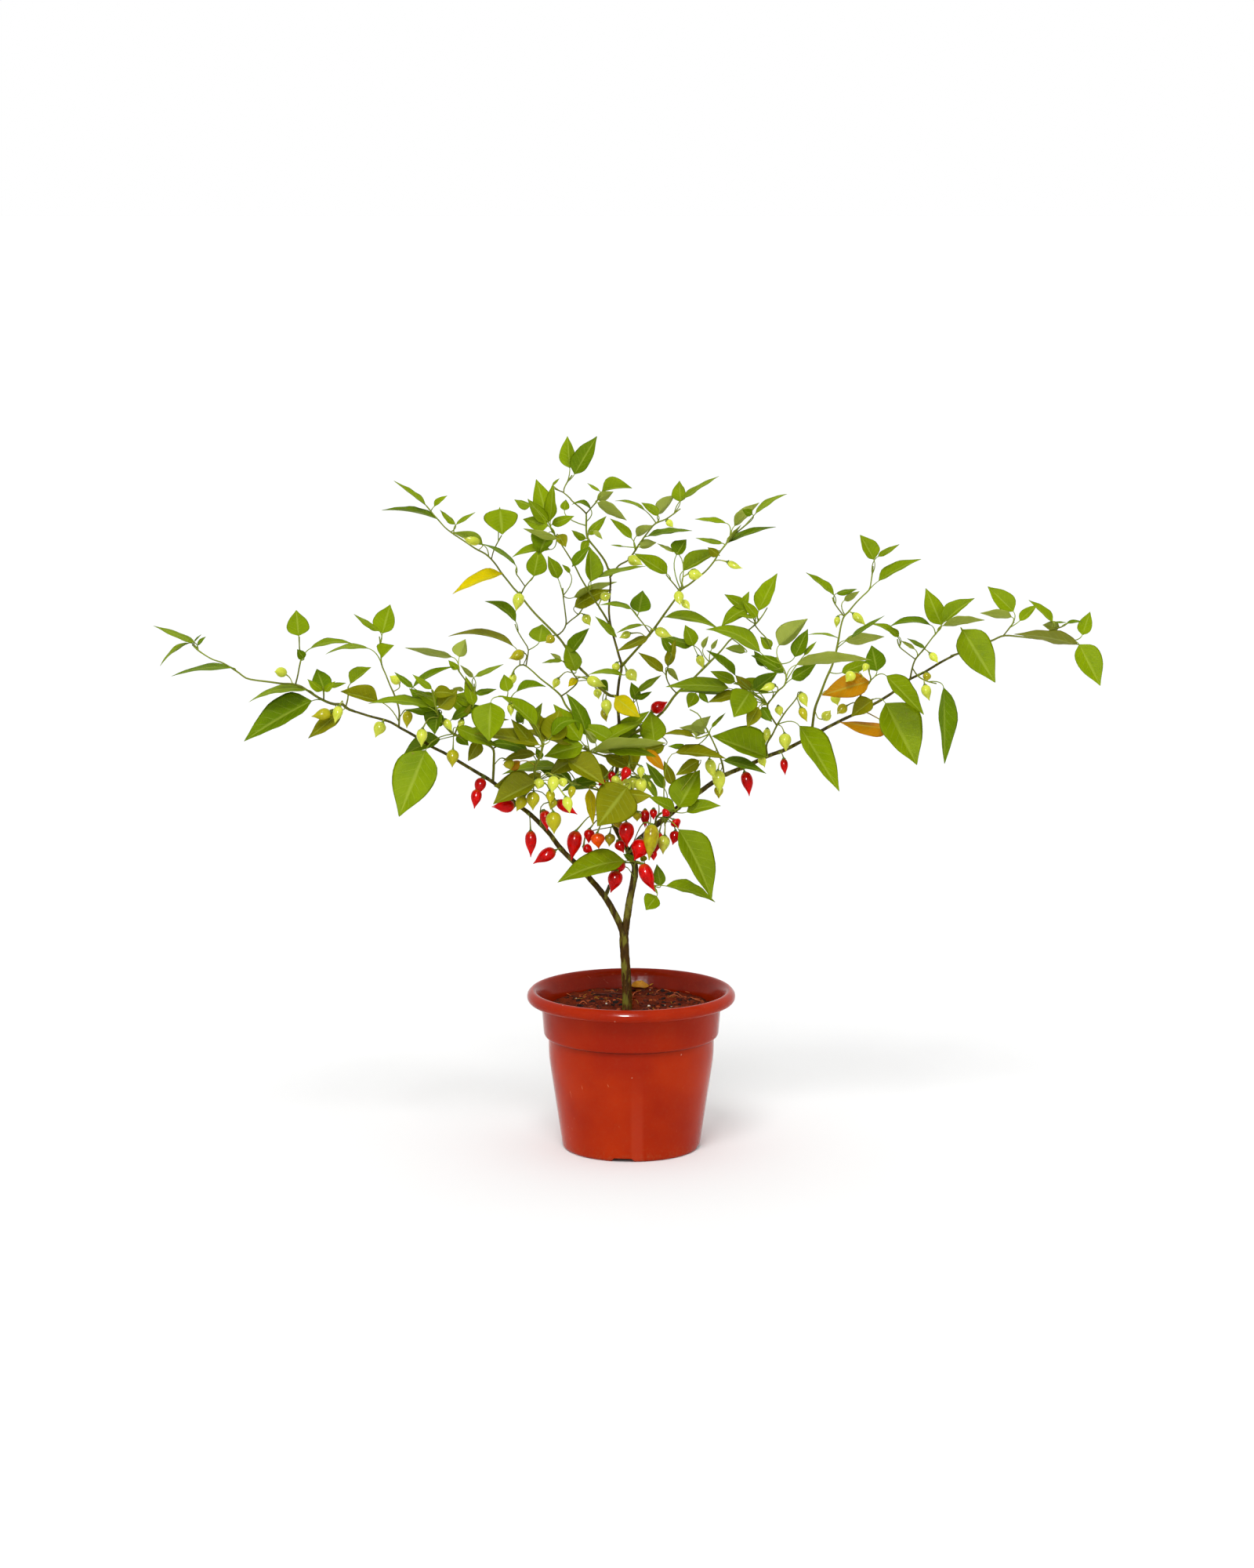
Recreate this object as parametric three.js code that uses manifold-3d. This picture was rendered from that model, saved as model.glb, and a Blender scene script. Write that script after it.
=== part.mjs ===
// A potted chilli pepper plant. A short trunk forks into two long leads and an upright leader,
// which carry leafy sprays with green fruit and hanging bunches of ripe fruit. It grows in dark
// soil in a round nursery pot with a rolled rim.
// Millimetres, +Z up. The origin is the middle of the pot's flat base, and the front faces -Y.

import * as THREE from 'three';
import { mergeVertices } from 'three/addons/utils/BufferGeometryUtils.js';
import Module from 'manifold-3d';

// Gap between neighbouring solids that touch on the real plant.
const GAP = 0.35;

// The pot.
const POT_HEIGHT = 154.5;
const POT_WALL = 2.5;
const POT_FLOOR = 2.5;
const POT_BASE_RADIUS = 66;
const POT_BASE_BEVEL = 3;
const POT_FLANK_RADIUS = 79.4;
const POT_FLANK_HEIGHT = 90;
const POT_STEP_RADIUS = 80.3;
const POT_STEP_HEIGHT = 107.5;
const COLLAR_FOOT_RADIUS = 84;
const COLLAR_FOOT_HEIGHT = 111;
const COLLAR_TOP_RADIUS = 86.5;
const RIM_RADIUS = 100;
const RIM_HEIGHT = 12;
const RIM_INNER_RADIUS = 91.3;
const RIM_ROUNDING = 3;
const RIM_INNER_DROP = 4;
const POT_SEGMENTS = 24;
const RIM_ARC_STEPS = 2;
const NOTCH_COUNT = 4;
const NOTCH_WIDTH = 20;
const NOTCH_DEPTH = 8;
const NOTCH_HEIGHT = 3.5;
const NOTCH_TURN = THREE.MathUtils.degToRad(-8);

// The soil.
const SOIL_EDGE_HEIGHT = 131.5;
const SOIL_CROWN = 2.5;
const SOIL_RISE = 6;
const SOIL_SEGMENTS = 24;
const SOIL_ROUGHNESS = 1.6;
const SOIL_SEED = 4711;
const SOIL_RING_SHARES = [0.75, 0.42, 0];
const CHIP_COUNT = 6;
const CHIP_LENGTH = [5, 12];
const CHIP_WIDTH = [2.5, 5.5];
const CHIP_THICKNESS = [2.5, 4.5];
const CHIP_TILT = 0.6;
const GRAIN_COUNT = 2;
const GRAIN_RADIUS = [1.4, 2.6];
const LITTER_REACH = [14, 76];
const DRY_TWIG_LENGTH = 34;
const DRY_TWIG_RADII = [0.9, 0.7];
const DRY_TWIG_TURN = 0.12;
const DRY_TWIG_PLACE = [-19, 52];
const DRY_TWIG_LIFT = 0.5;
const STEM_HOLE_TOP = 164;
const STEM_HOLE_BOTTOM = 84;
const STEM_HOLE_RADIUS = 5.9;

// Stems, leaves and fruit.
const WOOD_STEP = 20;
const WOOD_TAPER_POWER = 1.5;
const TWIG_STEP = 22;
const WOOD_SIDES = 5;
const TWIG_SIDES = 4;
const END_INSET = 1.3;
const BLADE_THICKNESS = 0.7;
const SMALLEST_FOLD_COSINE = 0.45;
const PETIOLE_RADIUS = 0.65;
const PETIOLE_FOOT_SHARE = 0.5;
const LARGE_LEAF_LENGTH = 46;
const FOLDED_LEAF_LENGTH = 58;
const LEAF_WIDTH_RATIO = 0.28;
const FRUIT_SIDES = 5;
const PEDICEL_RADIUS = 0.7;
const PEDICEL_ARCH_PLACE = 0.6;
const PEDICEL_ARCH_HEIGHT = 0.3;
const STALK_RADIUS = 1.2;
const STALK_SPACING = 1.8;
const STALK_FALL = 0.8;
const STALK_FORWARD = 0.6;

// Corners nearer than this become one, which clears the slivers that joining leaves.
const MERGE_LENGTH = 0.02;

// The plant is laid out as it is seen from the front, from an eye at this place, which looks down
// by PITCH. A front-view point is [px, py, depth]: px and py are counted in a view of 1600 x 2000,
// from its top left corner, and depth is the distance in mm behind the pot's middle.
const EYE = new THREE.Vector3(-4, -3700, 971.06);
const PITCH = THREE.MathUtils.degToRad(9.4707);
const FOCAL_PX = 5021.8;
const VIEW_CENTRE = [800, 1000];
const VIEW_RIGHT = new THREE.Vector3(1, 0, 0);
const VIEW_UP = new THREE.Vector3(0, Math.sin(PITCH), Math.cos(PITCH));
const VIEW_AWAY = new THREE.Vector3(0, Math.cos(PITCH), -Math.sin(PITCH));

// Stems: name, node, radius in mm at the root and at the end, and front-view points.
const STEMS = [
  ['trunk', 'woody_stems', 5.4, 4.4, [
    [800, 1349, 0], [800, 1302, 0], [800, 1270, 0], [799, 1240, 0], [797, 1210, 0], [796, 1186, 0],
  ]],
  ['left_lead', 'woody_stems', 3.4, 1.1, [
    [797, 1194, 0], [787, 1171, -1], [771, 1143, -3], [745, 1112, -7], [716, 1083, -12],
    [700, 1062, -16], [678, 1040, -22], [655, 1022, -27], [632, 1000, -34], [600, 980, -42],
    [568, 961, -48], [550, 952, -52], [528, 938, -55], [510, 928, -57], [498, 921, -58],
    [470, 913, -60], [448, 906, -61],
  ]],
  ['stub', 'woody_stems', 2.2, 1.7, [
    [770, 1146, -3], [774, 1139, -3], [778, 1129, -3],
  ]],
  ['right_lead', 'woody_stems', 3.7, 1.1, [
    [797, 1192, 0], [800, 1170, 0], [804, 1145, 1], [809, 1120, 2], [810, 1104, 3], [804, 1090, 4],
    [812, 1075, 5], [824, 1064, 6], [838, 1052, 7], [858, 1036, 8], [875, 1022, 10], [890, 1012, 12],
    [905, 1001, 14], [922, 990, 16], [940, 982, 18], [955, 976, 20], [978, 965, 23], [1000, 957, 26],
    [1022, 946, 28], [1050, 931, 31], [1075, 918, 34], [1090, 911, 35], [1115, 898, 36],
    [1138, 884, 37], [1160, 867, 38], [1180, 857, 36], [1200, 845, 34], [1217, 836, 32],
  ]],
  ['leader', 'woody_stems', 2.6, 0.9, [
    [811, 1108, 3], [805, 1092, 4], [797, 1078, 5], [789, 1064, 6], [782, 1046, 7], [784, 1010, 9],
    [787, 985, 11], [789, 958, 13], [790, 925, 15], [788, 900, 17], [788, 885, 18], [790, 868, 19],
    [793, 850, 20], [789, 834, 21], [784, 816, 22], [779, 797, 23], [777, 780, 24], [778, 760, 25],
    [779, 740, 25], [777, 725, 25],
  ]],
  ['left_tip', 'left_tip_spray', 1.3, 0.8, [
    [451, 907, -61], [443, 904, -61], [438, 899, -62], [425, 898, -63], [412, 893, -64],
    [400, 886, -65], [388, 878, -66], [376, 873, -67], [360, 872, -68], [345, 870, -69],
    [322, 867, -70], [314, 865, -70], [303, 857, -71], [292, 850, -72], [283, 845, -72],
    [271, 841, -72], [252, 829, -72], [245, 822, -72],
  ]],
  ['left_twig_a', 'left_tip_spray', 0.9, 0.8, [
    [377, 873, -67], [380, 861, -72], [382, 850, -76], [384, 840, -78], [382, 826, -80],
    [382, 812, -82],
  ]],
  ['left_twig_c', 'left_tip_spray', 0.9, 0.8, [
    [441, 902, -62], [444, 890, -56], [444, 876, -50],
  ]],
  ['left_twig_d', 'left_tip_spray', 0.9, 0.8, [
    [413, 893, -64], [413, 884, -70], [412, 876, -76],
  ]],
  ['left_twig_b', 'left_upper_spray', 0.9, 0.8, [
    [509, 926, -57], [509, 905, -50], [503, 886, -42], [498, 875, -37], [492, 860, -30],
    [487, 848, -24], [486, 836, -20], [485, 820, -15], [484, 812, -12],
  ]],
  ['left_mid', 'left_mid_spray', 1.3, 0.8, [
    [629, 996, -35], [630, 970, -40], [629, 955, -44], [617, 948, -50], [600, 942, -58],
    [580, 937, -66], [568, 926, -72], [560, 914, -78], [556, 902, -84], [551, 880, -92],
  ]],
  ['left_mid_b', 'left_mid_spray', 0.9, 0.8, [
    [580, 937, -66], [586, 922, -60], [591, 912, -56], [600, 900, -52], [605, 888, -50],
    [605, 872, -50],
  ]],
  ['left_mid_c', 'left_mid_spray', 0.9, 0.8, [
    [629, 955, -44], [640, 948, -40], [655, 942, -36],
  ]],
  ['inner_left', 'inner_left_spray', 1.4, 0.8, [
    [664, 1030, -25], [670, 1014, -34], [683, 998, -42], [682, 982, -50], [690, 962, -58],
    [692, 948, -62], [686, 936, -66], [680, 925, -70], [668, 908, -72], [655, 897, -74],
    [646, 889, -74], [636, 888, -74],
  ]],
  ['centre_a', 'centre_spray', 1.1, 0.8, [
    [788, 972, 12], [770, 964, 2], [752, 958, -8], [745, 953, -12],
  ]],
  ['centre_low', 'centre_low_spray', 1.2, 0.8, [
    [784, 1012, 9], [765, 1008, -6], [745, 1003, -16], [728, 998, -26],
  ]],
  ['mid_left', 'mid_left_spray', 1.5, 0.8, [
    [788, 950, 14], [770, 945, 26], [752, 934, 36], [738, 918, 46], [722, 900, 56], [716, 888, 62],
    [703, 876, 70], [690, 866, 76], [678, 855, 82], [668, 848, 88], [662, 849, 90], [655, 856, 92],
    [652, 864, 92],
  ]],
  ['mid_left_up', 'mid_left_spray', 0.9, 0.8, [
    [671, 850, 86], [673, 838, 90], [674, 828, 93], [667, 816, 96], [660, 804, 99], [657, 796, 100],
  ]],
  ['mid_left_side', 'mid_left_spray', 0.9, 0.8, [
    [716, 888, 62], [726, 881, 56], [737, 869, 48], [731, 859, 42], [726, 851, 38],
  ]],
  ['upper_left', 'upper_left_spray', 1.4, 0.8, [
    [788, 888, 18], [778, 887, 24], [770, 881, 28], [760, 873, 34], [750, 862, 40], [738, 850, 46],
    [727, 834, 52], [716, 817, 58], [705, 805, 62], [694, 794, 66], [683, 783, 70], [672, 770, 74],
    [664, 759, 78], [656, 751, 81], [648, 741, 84], [640, 731, 87], [631, 718, 90], [620, 707, 93],
    [607, 700, 96], [592, 690, 98], [577, 680, 100], [568, 673, 101], [560, 664, 102], [552, 655, 103],
    [543, 644, 104],
  ]],
  ['upper_left_b', 'upper_left_spray', 0.9, 0.8, [
    [710, 811, 60], [717, 806, 58], [722, 797, 56], [721, 780, 50], [719, 764, 44], [718, 750, 40],
  ]],
  ['upper_left_c', 'upper_left_spray', 0.9, 0.8, [
    [722, 797, 56], [730, 790, 60], [738, 784, 64], [744, 775, 68],
  ]],
  ['upper_left_d', 'upper_left_spray', 0.9, 0.8, [
    [664, 759, 78], [670, 748, 72], [676, 741, 68], [681, 735, 66],
  ]],
  ['upper_left_e', 'upper_left_spray', 0.9, 0.8, [
    [670, 748, 72], [663, 738, 68], [658, 730, 64], [659, 723, 62],
  ]],
  ['upper_left_f', 'upper_left_spray', 0.9, 0.8, [
    [627, 713, 91], [630, 702, 86], [636, 690, 80], [640, 683, 77],
  ]],
  ['crown', 'crown_spray', 1.1, 0.8, [
    [777, 729, 25], [772, 716, 24], [765, 706, 23], [757, 696, 22], [750, 687, 21], [748, 676, 20],
    [748, 665, 19], [748, 655, 18],
  ]],
  ['crown_a', 'crown_spray', 0.9, 0.8, [
    [748, 655, 18], [755, 647, 14], [761, 640, 10], [766, 629, 6],
  ]],
  ['crown_b', 'crown_spray', 0.9, 0.8, [
    [748, 655, 18], [741, 648, 22], [731, 640, 26], [725, 633, 29], [719, 628, 32], [721, 620, 34],
    [725, 613, 36], [730, 606, 38],
  ]],
  ['crown_c', 'crown_spray', 0.9, 0.8, [
    [719, 628, 32], [712, 625, 30], [705, 619, 28],
  ]],
  ['crown_left', 'crown_left_spray', 1, 0.8, [
    [779, 799, 23], [772, 786, 16], [765, 775, 10], [757, 763, 2], [750, 752, -6], [741, 737, -14],
    [733, 721, -22], [725, 708, -30], [716, 694, -36], [709, 684, -42], [703, 674, -46],
  ]],
  ['crown_right', 'crown_right_spray', 0.9, 0.8, [
    [778, 737, 25], [790, 721, 18], [801, 715, 12], [808, 706, 6], [815, 695, -2], [822, 685, -10],
    [829, 676, -18], [836, 668, -24], [850, 662, -32], [860, 655, -38], [868, 649, -42],
  ]],
  ['centre_right', 'centre_right_spray', 1.3, 0.8, [
    [793, 850, 20], [801, 841, 16], [810, 831, 10], [818, 822, 4], [829, 809, -4], [833, 804, -7],
    [841, 793, -14], [848, 783, -20], [856, 772, -28], [863, 762, -34], [868, 753, -40],
    [880, 745, -48], [890, 737, -54], [900, 729, -60], [911, 716, -68], [917, 706, -72],
    [924, 697, -76], [934, 684, -82], [944, 676, -86], [957, 665, -90],
  ]],
  ['centre_right_b', 'centre_right_spray', 0.9, 0.8, [
    [867, 754, -40], [860, 745, -44], [853, 737, -48], [850, 733, -50],
  ]],
  ['centre_right_c', 'centre_right_spray', 0.9, 0.8, [
    [830, 808, -4], [821, 796, -2], [813, 786, 0], [806, 777, 2],
  ]],
  ['right_crown', 'right_crown_spray', 1.7, 0.8, [
    [789, 940, 14], [800, 938, 24], [815, 932, 34], [832, 920, 46], [848, 905, 58], [862, 886, 70],
    [880, 870, 80], [898, 852, 88], [905, 845, 90], [920, 830, 95], [933, 815, 99], [950, 807, 103],
    [963, 797, 107], [973, 785, 110], [979, 775, 112],
  ]],
  ['right_crown_b', 'right_crown_spray', 0.9, 0.8, [
    [963, 797, 107], [970, 806, 100], [977, 813, 94], [983, 822, 88],
  ]],
  ['low_right', 'low_right_spray', 1.1, 0.8, [
    [836, 1054, 7], [838, 1042, -4], [846, 1036, -9.5], [858, 1034, -11.5], [868, 1032, -11.5],
  ]],
  ['low_spray_stem', 'low_spray', 1.1, 0.8, [
    [810, 1100, 3], [822, 1104, -8], [829, 1120, -14], [838, 1139, -20],
  ]],
  ['inner_right', 'inner_right_spray', 0.9, 0.8, [
    [924, 989, 16], [921, 972, 6], [914, 955, -2], [905, 936, -8], [897, 922, -12], [891, 911, -14],
    [880, 905, -14],
  ]],
  ['right_inner', 'right_inner_spray', 1, 0.8, [
    [979, 966, 23], [978, 950, 17], [985, 938, 12], [992, 924, 6], [1003, 907, 0], [1013, 895, -6],
    [1022, 882, -12],
  ]],
  ['right_inner_b', 'right_inner_spray', 0.9, 0.8, [
    [991, 925, 7], [983, 912, 0], [979, 900, -6], [986, 890, -12], [993, 881, -18], [1001, 874, -24],
    [1003, 862, -28], [998, 850, -30], [990, 838, -30],
  ]],
  ['right_mid', 'right_mid_spray', 1.4, 0.8, [
    [1035, 941, 30], [1037, 922, 36], [1040, 903, 42], [1046, 887, 50], [1054, 866, 60],
    [1062, 848, 70], [1067, 830, 80], [1070, 815, 86], [1073, 798, 92], [1077, 786, 97],
    [1082, 781, 99], [1092, 769, 104], [1102, 759, 108], [1109, 752, 111], [1112, 738, 113],
    [1114, 722, 115],
  ]],
  ['right_mid_b', 'right_mid_spray', 0.9, 0.8, [
    [1077, 786, 97], [1070, 777, 100], [1064, 768, 102], [1062, 762, 103],
  ]],
  ['right_low', 'right_low_spray', 0.9, 0.8, [
    [1098, 908, 35], [1096, 893, 26], [1103, 878, 18], [1111, 868, 12], [1109, 858, 8], [1107, 850, 6],
  ]],
  ['right_upper', 'right_upper_spray', 0.9, 0.8, [
    [1161, 867, 38], [1164, 852, 30], [1168, 841, 22], [1178, 829, 12], [1190, 813, 4], [1196, 806, 0],
    [1202, 798, -4],
  ]],
  ['right_upper_b', 'right_upper_spray', 0.9, 0.8, [
    [1168, 841, 22], [1156, 832, 24], [1147, 824, 26], [1145, 815, 27],
  ]],
  ['right_upper_c', 'right_upper_spray', 0.9, 0.8, [
    [1164, 852, 30], [1172, 863, 20], [1183, 869, 16], [1195, 872, 14],
  ]],
  ['right_tip', 'right_tip_spray', 1.1, 0.8, [
    [1213, 837, 32], [1222, 834, 31], [1235, 829, 30], [1252, 822, 28], [1266, 817, 26],
    [1280, 811, 24], [1300, 812, 20], [1320, 814, 16], [1338, 812, 12], [1356, 816, 8], [1371, 820, 6],
  ]],
  ['right_tip_b', 'right_tip_spray', 0.9, 0.8, [
    [1280, 811, 24], [1288, 801, 28], [1294, 793, 31],
  ]],
  ['right_tip_c', 'right_tip_spray', 0.9, 0.8, [
    [1338, 812, 12], [1338, 805, 8], [1346, 802, 4], [1356, 799, 0], [1362, 795, -4],
  ]],
  ['left_mid_d', 'left_mid_spray', 0.9, 0.8, [
    [604, 886, -50], [594, 868, -54], [585, 855, -58], [582, 848, -60],
  ]],
  ['right_crown_c', 'right_crown_spray', 0.9, 0.8, [
    [863, 884, 71], [855, 875, 62], [850, 862, 54], [853, 848, 48], [857, 834, 42],
  ]],
];

// Leaves on each stem. A row holds the place on the stem [ax, ay], the blade's base [bx, by] and
// tip [tx, ty] in the front view; how far the midrib's middle bends to the upper side; how wide the
// blade is seen above and below the midrib; in mm, how far behind its root the base lies and
// how far behind the base the tip lies; and which face is seen (1 upper, -1 lower).
const LEAVES = {
  left_tip: [
    [247, 824, 249, 820, 195, 798, 1, 3, 5, 0, -20, 1],
    [246, 823, 241, 820, 204, 850, 4, 4, 4, 3, 12, 1],
    [303, 857, 298, 852, 218, 863, 5, 5, 5, -3, -10, 1],
    [403, 888, 393, 880, 317, 896, 8, 6, 6, -3, -12, 1],
    [414, 894, 398, 894, 311, 946, 2, 24, 13, -8, -20, 1],
    [441, 903, 437, 906, 393, 942, 0, 12, 10, -6, -14, 1],
  ],
  left_twig_a: [
    [382, 814, 381, 811, 378, 778, 0, 15, 14, 2, 31, 1],
    [384, 846, 396, 827, 450, 821, 5, 5, 5, 4, 14, 1],
  ],
  left_twig_d: [
    [413, 884, 414, 880, 404, 853, 0, 13, 12, 2, 22, 1],
  ],
  left_twig_c: [
    [444, 877, 447, 872, 474, 851, 0, 14, 2, 3, 14, 1],
  ],
  left_twig_b: [
    [486, 845, 470, 827, 415, 835, 6, 4, 4, -4, -14, 1],
    [485, 818, 488, 808, 498, 771, 0, 16, 13, 3, 28, 1],
    [484, 814, 484, 805, 451, 783, 0, 3, 5, -4, -16, 1],
    [508, 921, 482, 894, 434, 882, 0, 16, 5, -8, -14, 1],
  ],
  left_mid: [
    [559, 914, 547, 902, 469, 898, 6, 8, 5, -10, -14, 1],
    [556, 904, 556, 905, 522, 878, 0, 10, 12, 8, 16, 1],
    [553, 888, 527, 876, 580, 850, 3, 7, 3, 8, 16, 1],
    [580, 936, 582, 928, 636, 952, 0, 9, 9, -6, -14, 1],
    [580, 938, 543, 957, 509, 1042, 0, 30, 27, -16, -14, 1],
    [582, 938, 562, 943, 514, 964, 2, 15, 7, 12, 8, 1],
  ],
  left_mid_d: [
    [583, 852, 577, 838, 516, 826, 0, 5, 4, 4, 16, -1],
  ],
  inner_left: [
    [683, 998, 684, 998, 629, 1026, 0, 26, 7, -8, -14, 1],
    [683, 998, 680, 997, 630, 1003, 0, 16, 15, -4, -10, 1],
    [688, 940, 684, 926, 638, 887, 2, 15, 4, -6, -10, 1],
    [640, 888, 626, 896, 624, 946, 0, 24, 20, -8, -14, 1],
    [691, 950, 688, 950, 604, 936, 3, 12, 7, -8, -16, 1],
    [690, 950, 682, 953, 652, 917, 0, 9, 9, -4, -10, 1],
    [692, 948, 702, 944, 714, 905, 0, 18, 18, 6, 30, 1],
    [684, 975, 683, 962, 641, 971, 3, 7, 6, -4, -10, 1],
  ],
  centre_a: [
    [745, 953, 741, 945, 706, 898, 0, 14, 12, -6, 20, 1],
    [746, 953, 744, 951, 694, 965, 0, 14, 12, -8, -14, 1],
    [755, 958, 782, 946, 742, 924, 0, 12, 8, 4, 10, 1],
    [750, 957, 757, 957, 851, 948, 2, 11, 7, -4, -14, -1],
    [747, 954, 724, 970, 772, 1001, 0, 24, 8, -14, -14, 1],
  ],
  centre_low: [
    [784, 1012, 800, 1004, 762, 1054, 0, 28, 29, -39, -31, 1],
    [765, 1008, 752, 1006, 757, 1053, 0, 5, 8, -14, -8, 1],
    [728, 998, 713, 978, 640, 988, 4, 9, 5, 13, 15, 1],
    [730, 999, 730, 997, 688, 981, 0, 9, 9, 8, 8, 1],
  ],
  mid_left: [
    [664, 848, 655, 824, 571, 812, 9, 6, 4, 4, 16, 1],
  ],
  mid_left_up: [
    [657, 797, 658, 793, 618, 767, 5, 9, 4, 0, 14, 1],
    [674, 828, 688, 819, 692, 796, 0, 15, 16, 4, 34, 1],
  ],
  mid_left_side: [
    [727, 850, 727, 833, 752, 801, 0, 12, 5, 4, 24, 1],
  ],
  upper_left: [
    [544, 646, 543, 644, 502, 613, 0, 5, 2, 2, 12, 1],
    [560, 664, 556, 661, 486, 651, 4, 6, 1, -4, -12, 1],
    [622, 709, 616, 695, 577, 679, 0, 11, 2, -6, -12, -1],
    [641, 732, 641, 732, 577, 758, 2, 14, 3, -3, -12, 1],
    [788, 888, 788, 885, 800, 920, 0, 24, 11, -10, -14, 1],
  ],
  upper_left_b: [
    [717, 748, 712, 738, 699, 709, 0, 10, 7, -3, 22, 1],
    [718, 755, 732, 762, 788, 742, 2, 5, 5, 10, 16, -1],
  ],
  upper_left_c: [
    [738, 783, 733, 774, 781, 752, 3, 9, 11, -6, -14, 1],
  ],
  upper_left_d: [
    [679, 738, 681, 735, 688, 700, 0, 12, 15, 2, 26, 1],
  ],
  upper_left_e: [
    [659, 724, 658, 721, 610, 693, 5, 4, 3, 0, 12, 1],
  ],
  upper_left_f: [
    [640, 684, 638, 649, 641, 682, 0, 22, 22, 22, -30, 1],
  ],
  crown: [
    [750, 687, 750, 682, 774, 658, 0, 6, 7, 3, 14, 1],
  ],
  crown_a: [
    [766, 629, 768, 627, 807, 623, 2, 15, 2, -4, -12, 1],
    [761, 640, 762, 641, 800, 664, 0, 7, 6, -6, -14, -1],
  ],
  crown_b: [
    [728, 609, 727, 597, 724, 556, 0, 8, 13, 4, 20, 1],
    [730, 608, 733, 605, 762, 556, 0, 15, 11, -4, 16, 1],
  ],
  crown_left: [
    [703, 674, 700, 666, 684, 611, 0, 15, 14, 6, 26, 1],
    [703, 674, 702, 665, 706, 615, 0, 8, 7, -4, 16, 1],
    [703, 674, 698, 668, 673, 636, 0, 9, 8, -8, 10, 1],
    [711, 686, 711, 687, 667, 674, 0, 4, 5, -18, -8, -1],
    [707, 681, 700, 680, 687, 708, 0, 19, 11, 10, -20, 1],
    [711, 686, 702, 701, 653, 711, 4, 8, 5, 4, -12, 1],
    [751, 752, 754, 742, 752, 697, 0, 16, 7, -10, 18, 1],
    [778, 797, 785, 812, 759, 786, 0, 6, 4, -8, -10, 1],
    [750, 752, 757, 738, 825, 722, 2, 5, 4, -5, -6, 1],
  ],
  crown_right: [
    [808, 702, 806, 687, 778, 661, 0, 7, 5, -4, 10, 1],
    [837, 667, 823, 651, 784, 639, 4, 3, 3, 4, 12, 1],
    [868, 648, 868, 640, 867, 613, 0, 8, 11, 3, 26, 1],
    [868, 648, 870, 637, 918, 607, 1, 6, 3, -3, -14, 1],
    [822, 685, 826, 684, 884, 677, 2, 6, 4, -5, -14, 1],
  ],
  centre_right_b: [
    [850, 733, 851, 732, 809, 706, 0, 13, 7, -6, -10, 1],
  ],
  centre_right: [
    [872, 751, 872, 728, 919, 702, 0, 17, 3, -6, 14, 1],
    [934, 684, 937, 671, 969, 641, 0, 10, 3, 10, 16, -1],
    [958, 662, 964, 655, 1005, 630, 4, 5, 4, -3, -12, 1],
    [928, 692, 929, 692, 991, 672, 3, 6, 4, -4, -12, 1],
    [846, 786, 849, 787, 918, 803, 5, 11, 4, -4, -12, 1],
    [829, 810, 828, 812, 786, 831, 0, 6, 6, -6, -12, 1],
    [796, 846, 795, 861, 750, 861, 4, 5, 3, -10, -12, 1],
  ],
  centre_right_c: [
    [812, 785, 815, 781, 820, 753, 0, 13, 14, 3, 30, 1],
  ],
  right_crown: [
    [898, 852, 884, 823, 842, 811, 0, 5, 8, 14, 12, 1],
    [962, 797, 955, 776, 920, 800, 3, 11, 8, 4, -14, 1],
    [966, 790, 968, 779, 992, 731, 0, 13, 9, 6, 20, 1],
    [795, 938, 781, 948, 829, 907, 0, 14, 9, -8, 6, 1],
    [824, 927, 835, 947, 830, 907, 0, 17, 17, -14, 24, 1],
  ],
  right_inner: [
    [979, 962, 977, 965, 908, 939, 0, 29, 9, -8, -14, 1],
    [994, 923, 1020, 926, 1071, 1010, 0, 23, 12, -8, -18, 1],
  ],
  right_inner_b: [
    [990, 838, 970, 832, 900, 803, 9, 14, 8, -8, -14, 1],
    [979, 900, 938, 861, 901, 829, 0, 10, 2, -6, 8, 1],
    [990, 838, 994, 823, 1031, 789, 0, 17, 8, 4, 14, -1],
    [1002, 866, 1016, 848, 1113, 842, 3, 9, 5, -6, -14, -1],
    [979, 900, 957, 882, 936, 915, 0, 20, 18, -12, -16, 1],
    [979, 900, 930, 878, 849, 876, 3, 10, 10, -2, 8, 1],
    [1003, 862, 1000, 858, 958, 836, 2, 10, 8, 6, -6, 1],
  ],
  inner_right: [
    [921, 972, 923, 970, 978, 987, 2, 10, 4, -6, -10, 1],
  ],
  low_right: [
    [847, 1036, 862, 960, 927, 968, 2, 11, 5, -6, -10, 1],
    [866, 1032, 866, 1030, 893, 982, 0, 23, 16, -4, 20, 1],
    [868, 1032, 876, 1036, 920, 1028, 2, 12, 5, -6, -10, 1],
    [838, 1042, 866, 1058, 908, 1148, 3, 27, 12, -26, -12, 1],
  ],
  low_spray_stem: [
    [822, 1105, 797, 1098, 711, 1126, 5, 20, 11, -8, -16, 1],
    [838, 1139, 850, 1130, 913, 1151, 3, 11, 4, 2, 12, 1],
  ],
  right_low: [
    [1112, 866, 1119, 856, 1112, 823, 0, 14, 13, 2, 28, 1],
    [1110, 869, 1109, 869, 1048, 887, 0, 17, 14, 4, -10, 1],
    [1097, 905, 1136, 930, 1071, 921, 0, 6, 13, -12, -14, 1],
    [1100, 904, 1130, 897, 1170, 976, 0, 32, 23, -18, -16, 1],
    [1111, 868, 1131, 862, 1179, 912, 0, 17, 9, -10, -14, 1],
  ],
  right_mid: [
    [1069, 815, 1068, 813, 1030, 810, 3, 2, 2, -3, -8, 1],
    [1058, 858, 1074, 858, 1113, 843, 0, 8, 8, -6, -10, 1],
    [1069, 828, 1078, 817, 1129, 812, 0, 7, 7, 10, 14, -1],
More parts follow.
